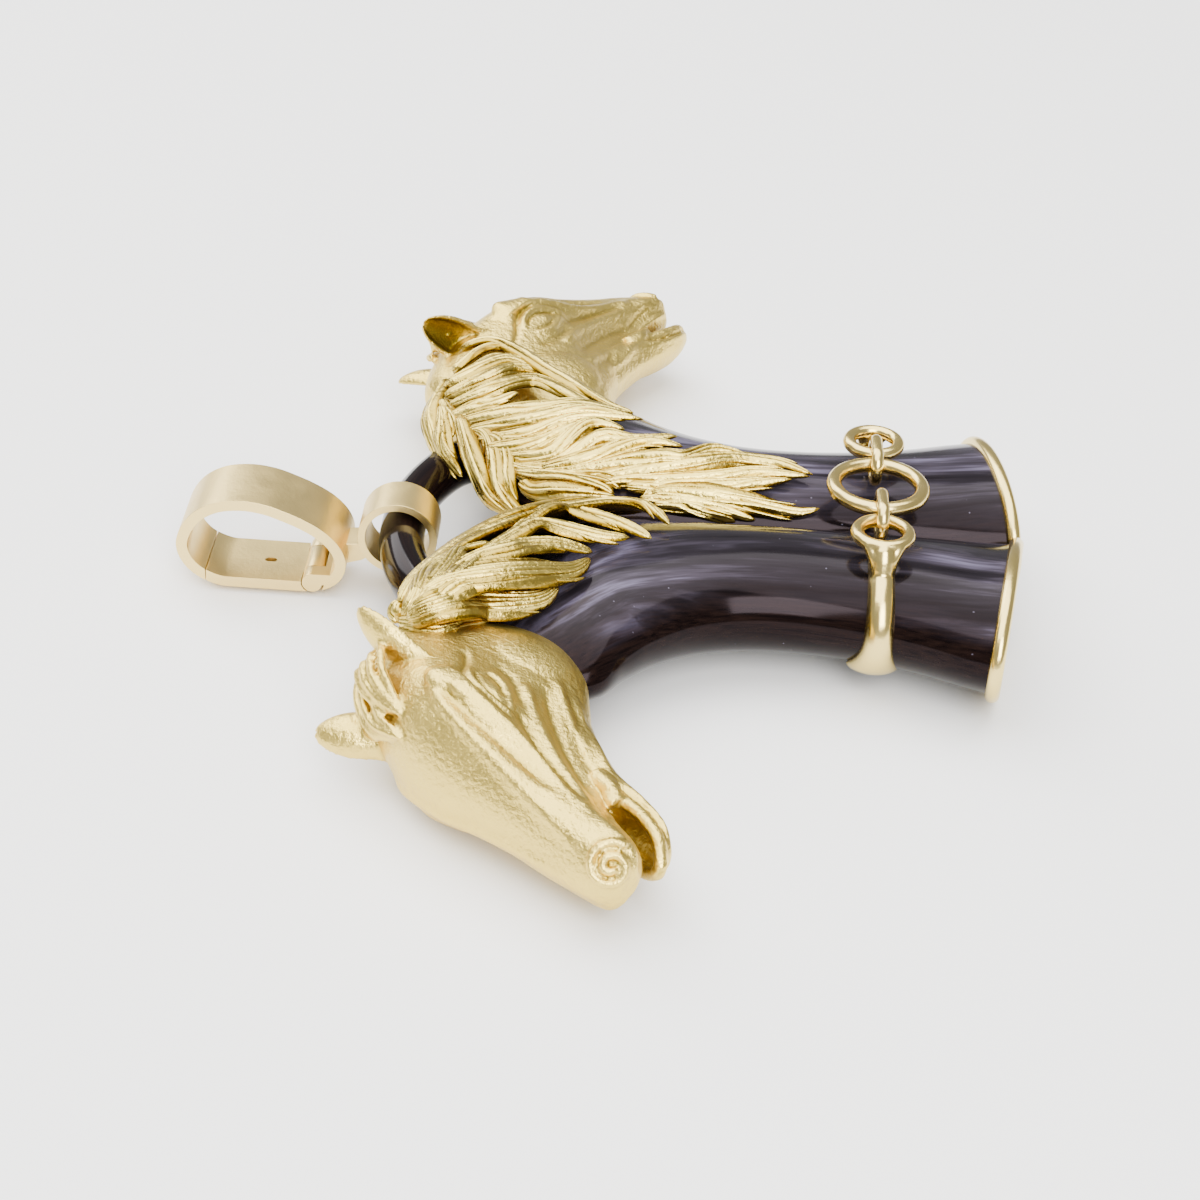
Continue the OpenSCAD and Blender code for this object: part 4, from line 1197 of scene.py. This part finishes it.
def lock_skin(line, across, above, width, ridges, sink, random):
    t = np.linspace(0, 1, LOCK_RINGS)[:, None]
    # Round at the root, full in the middle, and running out in a tip
    root = (1 - (1 - np.minimum(12 * t, 1)) ** 2) ** 0.5
    body = root * np.minimum(1, 0.55 + 1.2 * t) * (1 - t ** 5) ** 0.6 + 0.03
    half, high = 0.60 * width * body, (0.16 + 0.14 * width) * body ** 0.5
    x = np.sin(np.linspace(-0.5, 0.5, 7 * ridges + 4) * math.pi)[None]
    # Each ridge wanders a little and has its own height
    wander = 0.50 * np.sin(2 * math.pi * (t * random.uniform(0.6, 1.3) + random.uniform(0, 1)))
    place = ridges * (x + 1) / 2 + wander * (1 - x ** 2) + 0.16 * np.sin(9 * t + 4 * x)
    heights = random.uniform(0.40, 1.45, ridges + 2)
    ridge = np.abs(np.sin(math.pi * place)) ** 0.75
    relief = RIDGE_MM * ridge * heights[np.clip(place.astype(int), 0, ridges + 1)] * (1 - x ** 6) * body
    # Upper side with the ridges, and a flatter lower side
    top = np.sqrt(1 - x ** 2) * high + relief - sink
    under = np.sin(np.linspace(0.5, -0.5, 6)[1:-1] * math.pi)[None]
    low = -0.6 * np.sqrt(1 - under ** 2) * high - sink
    aside = np.concatenate([x * half, under * half], axis=1)
    lift = np.concatenate([top, low], axis=1)
    rings = line[:, None] + aside[..., None] * across[:, None] + lift[..., None] * above[:, None]
    # Painted shade in the grooves and along the edges
    dark = np.clip(0.68 - 0.85 * ridge + 0.30 * np.abs(x) ** 8, 0, 1) + 0 * t
    # The lower side gets half the painted shade
    hollow_shade = np.concatenate([dark, np.full((LOCK_RINGS, under.shape[1]), 0.5)], axis=1)
    return rings.reshape(-1, 3), skin_faces(LOCK_RINGS, rings.shape[1]), hollow_shade.ravel()


# %% [markdown]
# ## A lock, its loose strands and its bed
# Two thin strands leave the edges of each lock before its tip. The bed is wider than the lock and
# lies below it, so that no gap shows between neighbours.

# %% Put a lock together
# Length and width of a bed as shares of the lock's, and how far it lies below
BED_LENGTH, BED_WIDTH, BED_DEPTH_MM = 0.86, 1.6, 0.20
LOOSE_DEPTH_MM = 0.02


def first_part(rows, share):
    at = np.linspace(0, share * (len(rows) - 1), len(rows))
    return np.stack([np.interp(at, np.arange(len(rows)), rows[:, k]) for k in range(rows.shape[1])], axis=1)


def lock_parts(path, width, ridges_per_mm, random):
    line, across, above = lock_frame(path)
    rows = np.column_stack([line, across, above])
    t = np.linspace(0, 1, LOCK_RINGS)
    lift = random.uniform(-0.05, 0.08)
    parts = [lock_skin(line, across, above, width, max(2, round(width * ridges_per_mm)), -lift, random)]
    for s in (-1, 1):
        keep = first_part(rows, random.uniform(0.80, 0.97))
        aside = s * width * (0.40 + 0.14 * t ** 3) + 0.05 * np.sin(2 * math.pi * (t + random.uniform(0, 1)))
        loose = keep[:, 0:3] + keep[:, 3:6] * (aside * np.minimum(1, 0.5 + t))[:, None]
        parts.append(lock_skin(loose, keep[:, 3:6], keep[:, 6:9], random.uniform(0.34, 0.44), 1,
                               LOOSE_DEPTH_MM - lift, random))
    bed = first_part(rows, BED_LENGTH)
    points, faces, hollow_shade = lock_skin(bed[:, 0:3], bed[:, 3:6], bed[:, 6:9], width * BED_WIDTH,
                                      max(3, round(0.9 * width * ridges_per_mm)),
                                      BED_DEPTH_MM - lift, random)
    # The bed below the lock gets at least a little painted shade
    parts.append((points, faces, np.maximum(hollow_shade, 0.3)))
    return parts


# %% [markdown]
# ## Cast a mane
# All skins of a mane become one piece. Nothing may cross to the other neck, so points that would
# do so are held at the seam.

# %% Cast both manes
SEED = 7


def mane(word, side, table, ridges_per_mm):
    random = np.random.default_rng(SEED)
    parts = [part for path, width in table for part in lock_parts(path, width, ridges_per_mm, random)]
    points, faces = joined([part[:2] for part in parts])
    points[:, 0] = np.maximum(points[:, 0], SEAM / 2)
    made = mesh_object(f"cast_mane_{word}", points, faces, side)
    store_value(made, "hollow_shade", np.concatenate([part[2] for part in parts]))
    print(len(table), "locks from", len(parts), "skins")
    finish_piece(made, "pendant", "cast_gold_mane", mane_gold, f"mane_{word}")


mane("left", -1, LOCKS_LEFT, ridges_per_mm=3.6)
mane("right", 1, LOCKS_RIGHT, ridges_per_mm=2.7)

# %% [markdown]
# ## Bail and gate
# The bail is a band of flat gold with crisp, lightly worn edges, and its gate turns on a pin. It
# could be modelled again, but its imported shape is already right. So it is copied, its loose
# triangles are joined, and a small bevel catches the light along each edge.

# %% Soften the edges of the bail and the gate
# Points nearer than this are one, faces flatter are one, and edges sharper are worn
JOIN_MM, FLAT_DEGREES, EDGE_DEGREES = 0.002, 1, 38
EDGE_WEAR_MM = 0.12


def soften(node, name, body):
    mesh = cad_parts[node].data.copy()
    made = bpy.data.objects.new(name, mesh)
    bpy.context.scene.collection.objects.link(made)
    work = bmesh.new()
    work.from_mesh(mesh)
    bmesh.ops.remove_doubles(work, verts=work.verts, dist=JOIN_MM * MM)
    bmesh.ops.dissolve_limit(work, angle_limit=math.radians(FLAT_DEGREES), verts=work.verts,
                             edges=work.edges)
    work.to_mesh(mesh)
    work.free()
    point_outwards(made)
    bevel = made.modifiers.new("worn edges", "BEVEL")
    bevel.width, bevel.segments, bevel.limit_method = EDGE_WEAR_MM * MM, 3, "ANGLE"
    bevel.angle_limit = math.radians(EDGE_DEGREES)
    even = made.modifiers.new("even shading", "WEIGHTED_NORMAL")
    even.weight, even.keep_sharp = 80, True
    finish_piece(made, body, "polished_gold", brushed_gold, node)


soften("bail", "bail_band", "bail")
soften("bail_gate", "bail_gate_arm", "gate")

# %% [markdown]
# ## Table and light
# The pendant was photographed on white under broad, soft light. A picture of a room could give
# that light, but a plain sky and three large lights are enough, and each can be moved on its
# own. With the pale floor they give long, soft reflections in the gold and in the stone.

# %% Lay the table
FLOOR_HALF_MM = 1500

floor_corners = [[-1, -1, 0], [1, -1, 0], [1, 1, 0], [-1, 1, 0]]
floor_points = np.array(floor_corners) * FLOOR_HALF_MM - DRAWING_AT
floor = mesh_object("floor", floor_points, [[0, 1, 2, 3]])
floor_material, _, floor_shader = new_material("pale matt card")
floor_shader.inputs["Base Color"].default_value = linear("#f6f5f3")
floor_shader.inputs["Roughness"].default_value = 0.9
floor.data.materials.append(floor_material)
print("table:", 2 * FLOOR_HALF_MM / 1000, "m wide")

# %% Light the room
world = bpy.data.worlds.new("soft white room")
bpy.context.scene.world = world
world.use_nodes = True
sky = world.node_tree.nodes["Background"]
sky.inputs["Color"].default_value = linear("#f6f6f8")
sky.inputs["Strength"].default_value = 0.50

# Name, place and size in metres, and power in watts
LIGHTS = [("overhead", (0.05, 0.10, 0.55), 0.80, 11.0), ("fill", (-0.42, -0.10, 0.34), 0.34, 5.4),
          ("back", (0.30, 0.28, 0.24), 0.25, 1.2)]
for name, place, size, power in LIGHTS:
    data = bpy.data.lights.new(name, "AREA")
    data.size, data.energy = size, power
    lamp = bpy.data.objects.new(name, data)
    lamp.location = place
    lamp.rotation_mode = "QUATERNION"
    lamp.rotation_quaternion = Vector(place).to_track_quat("Z", "Y")
    bpy.context.scene.collection.objects.link(lamp)
    print("light:", name)
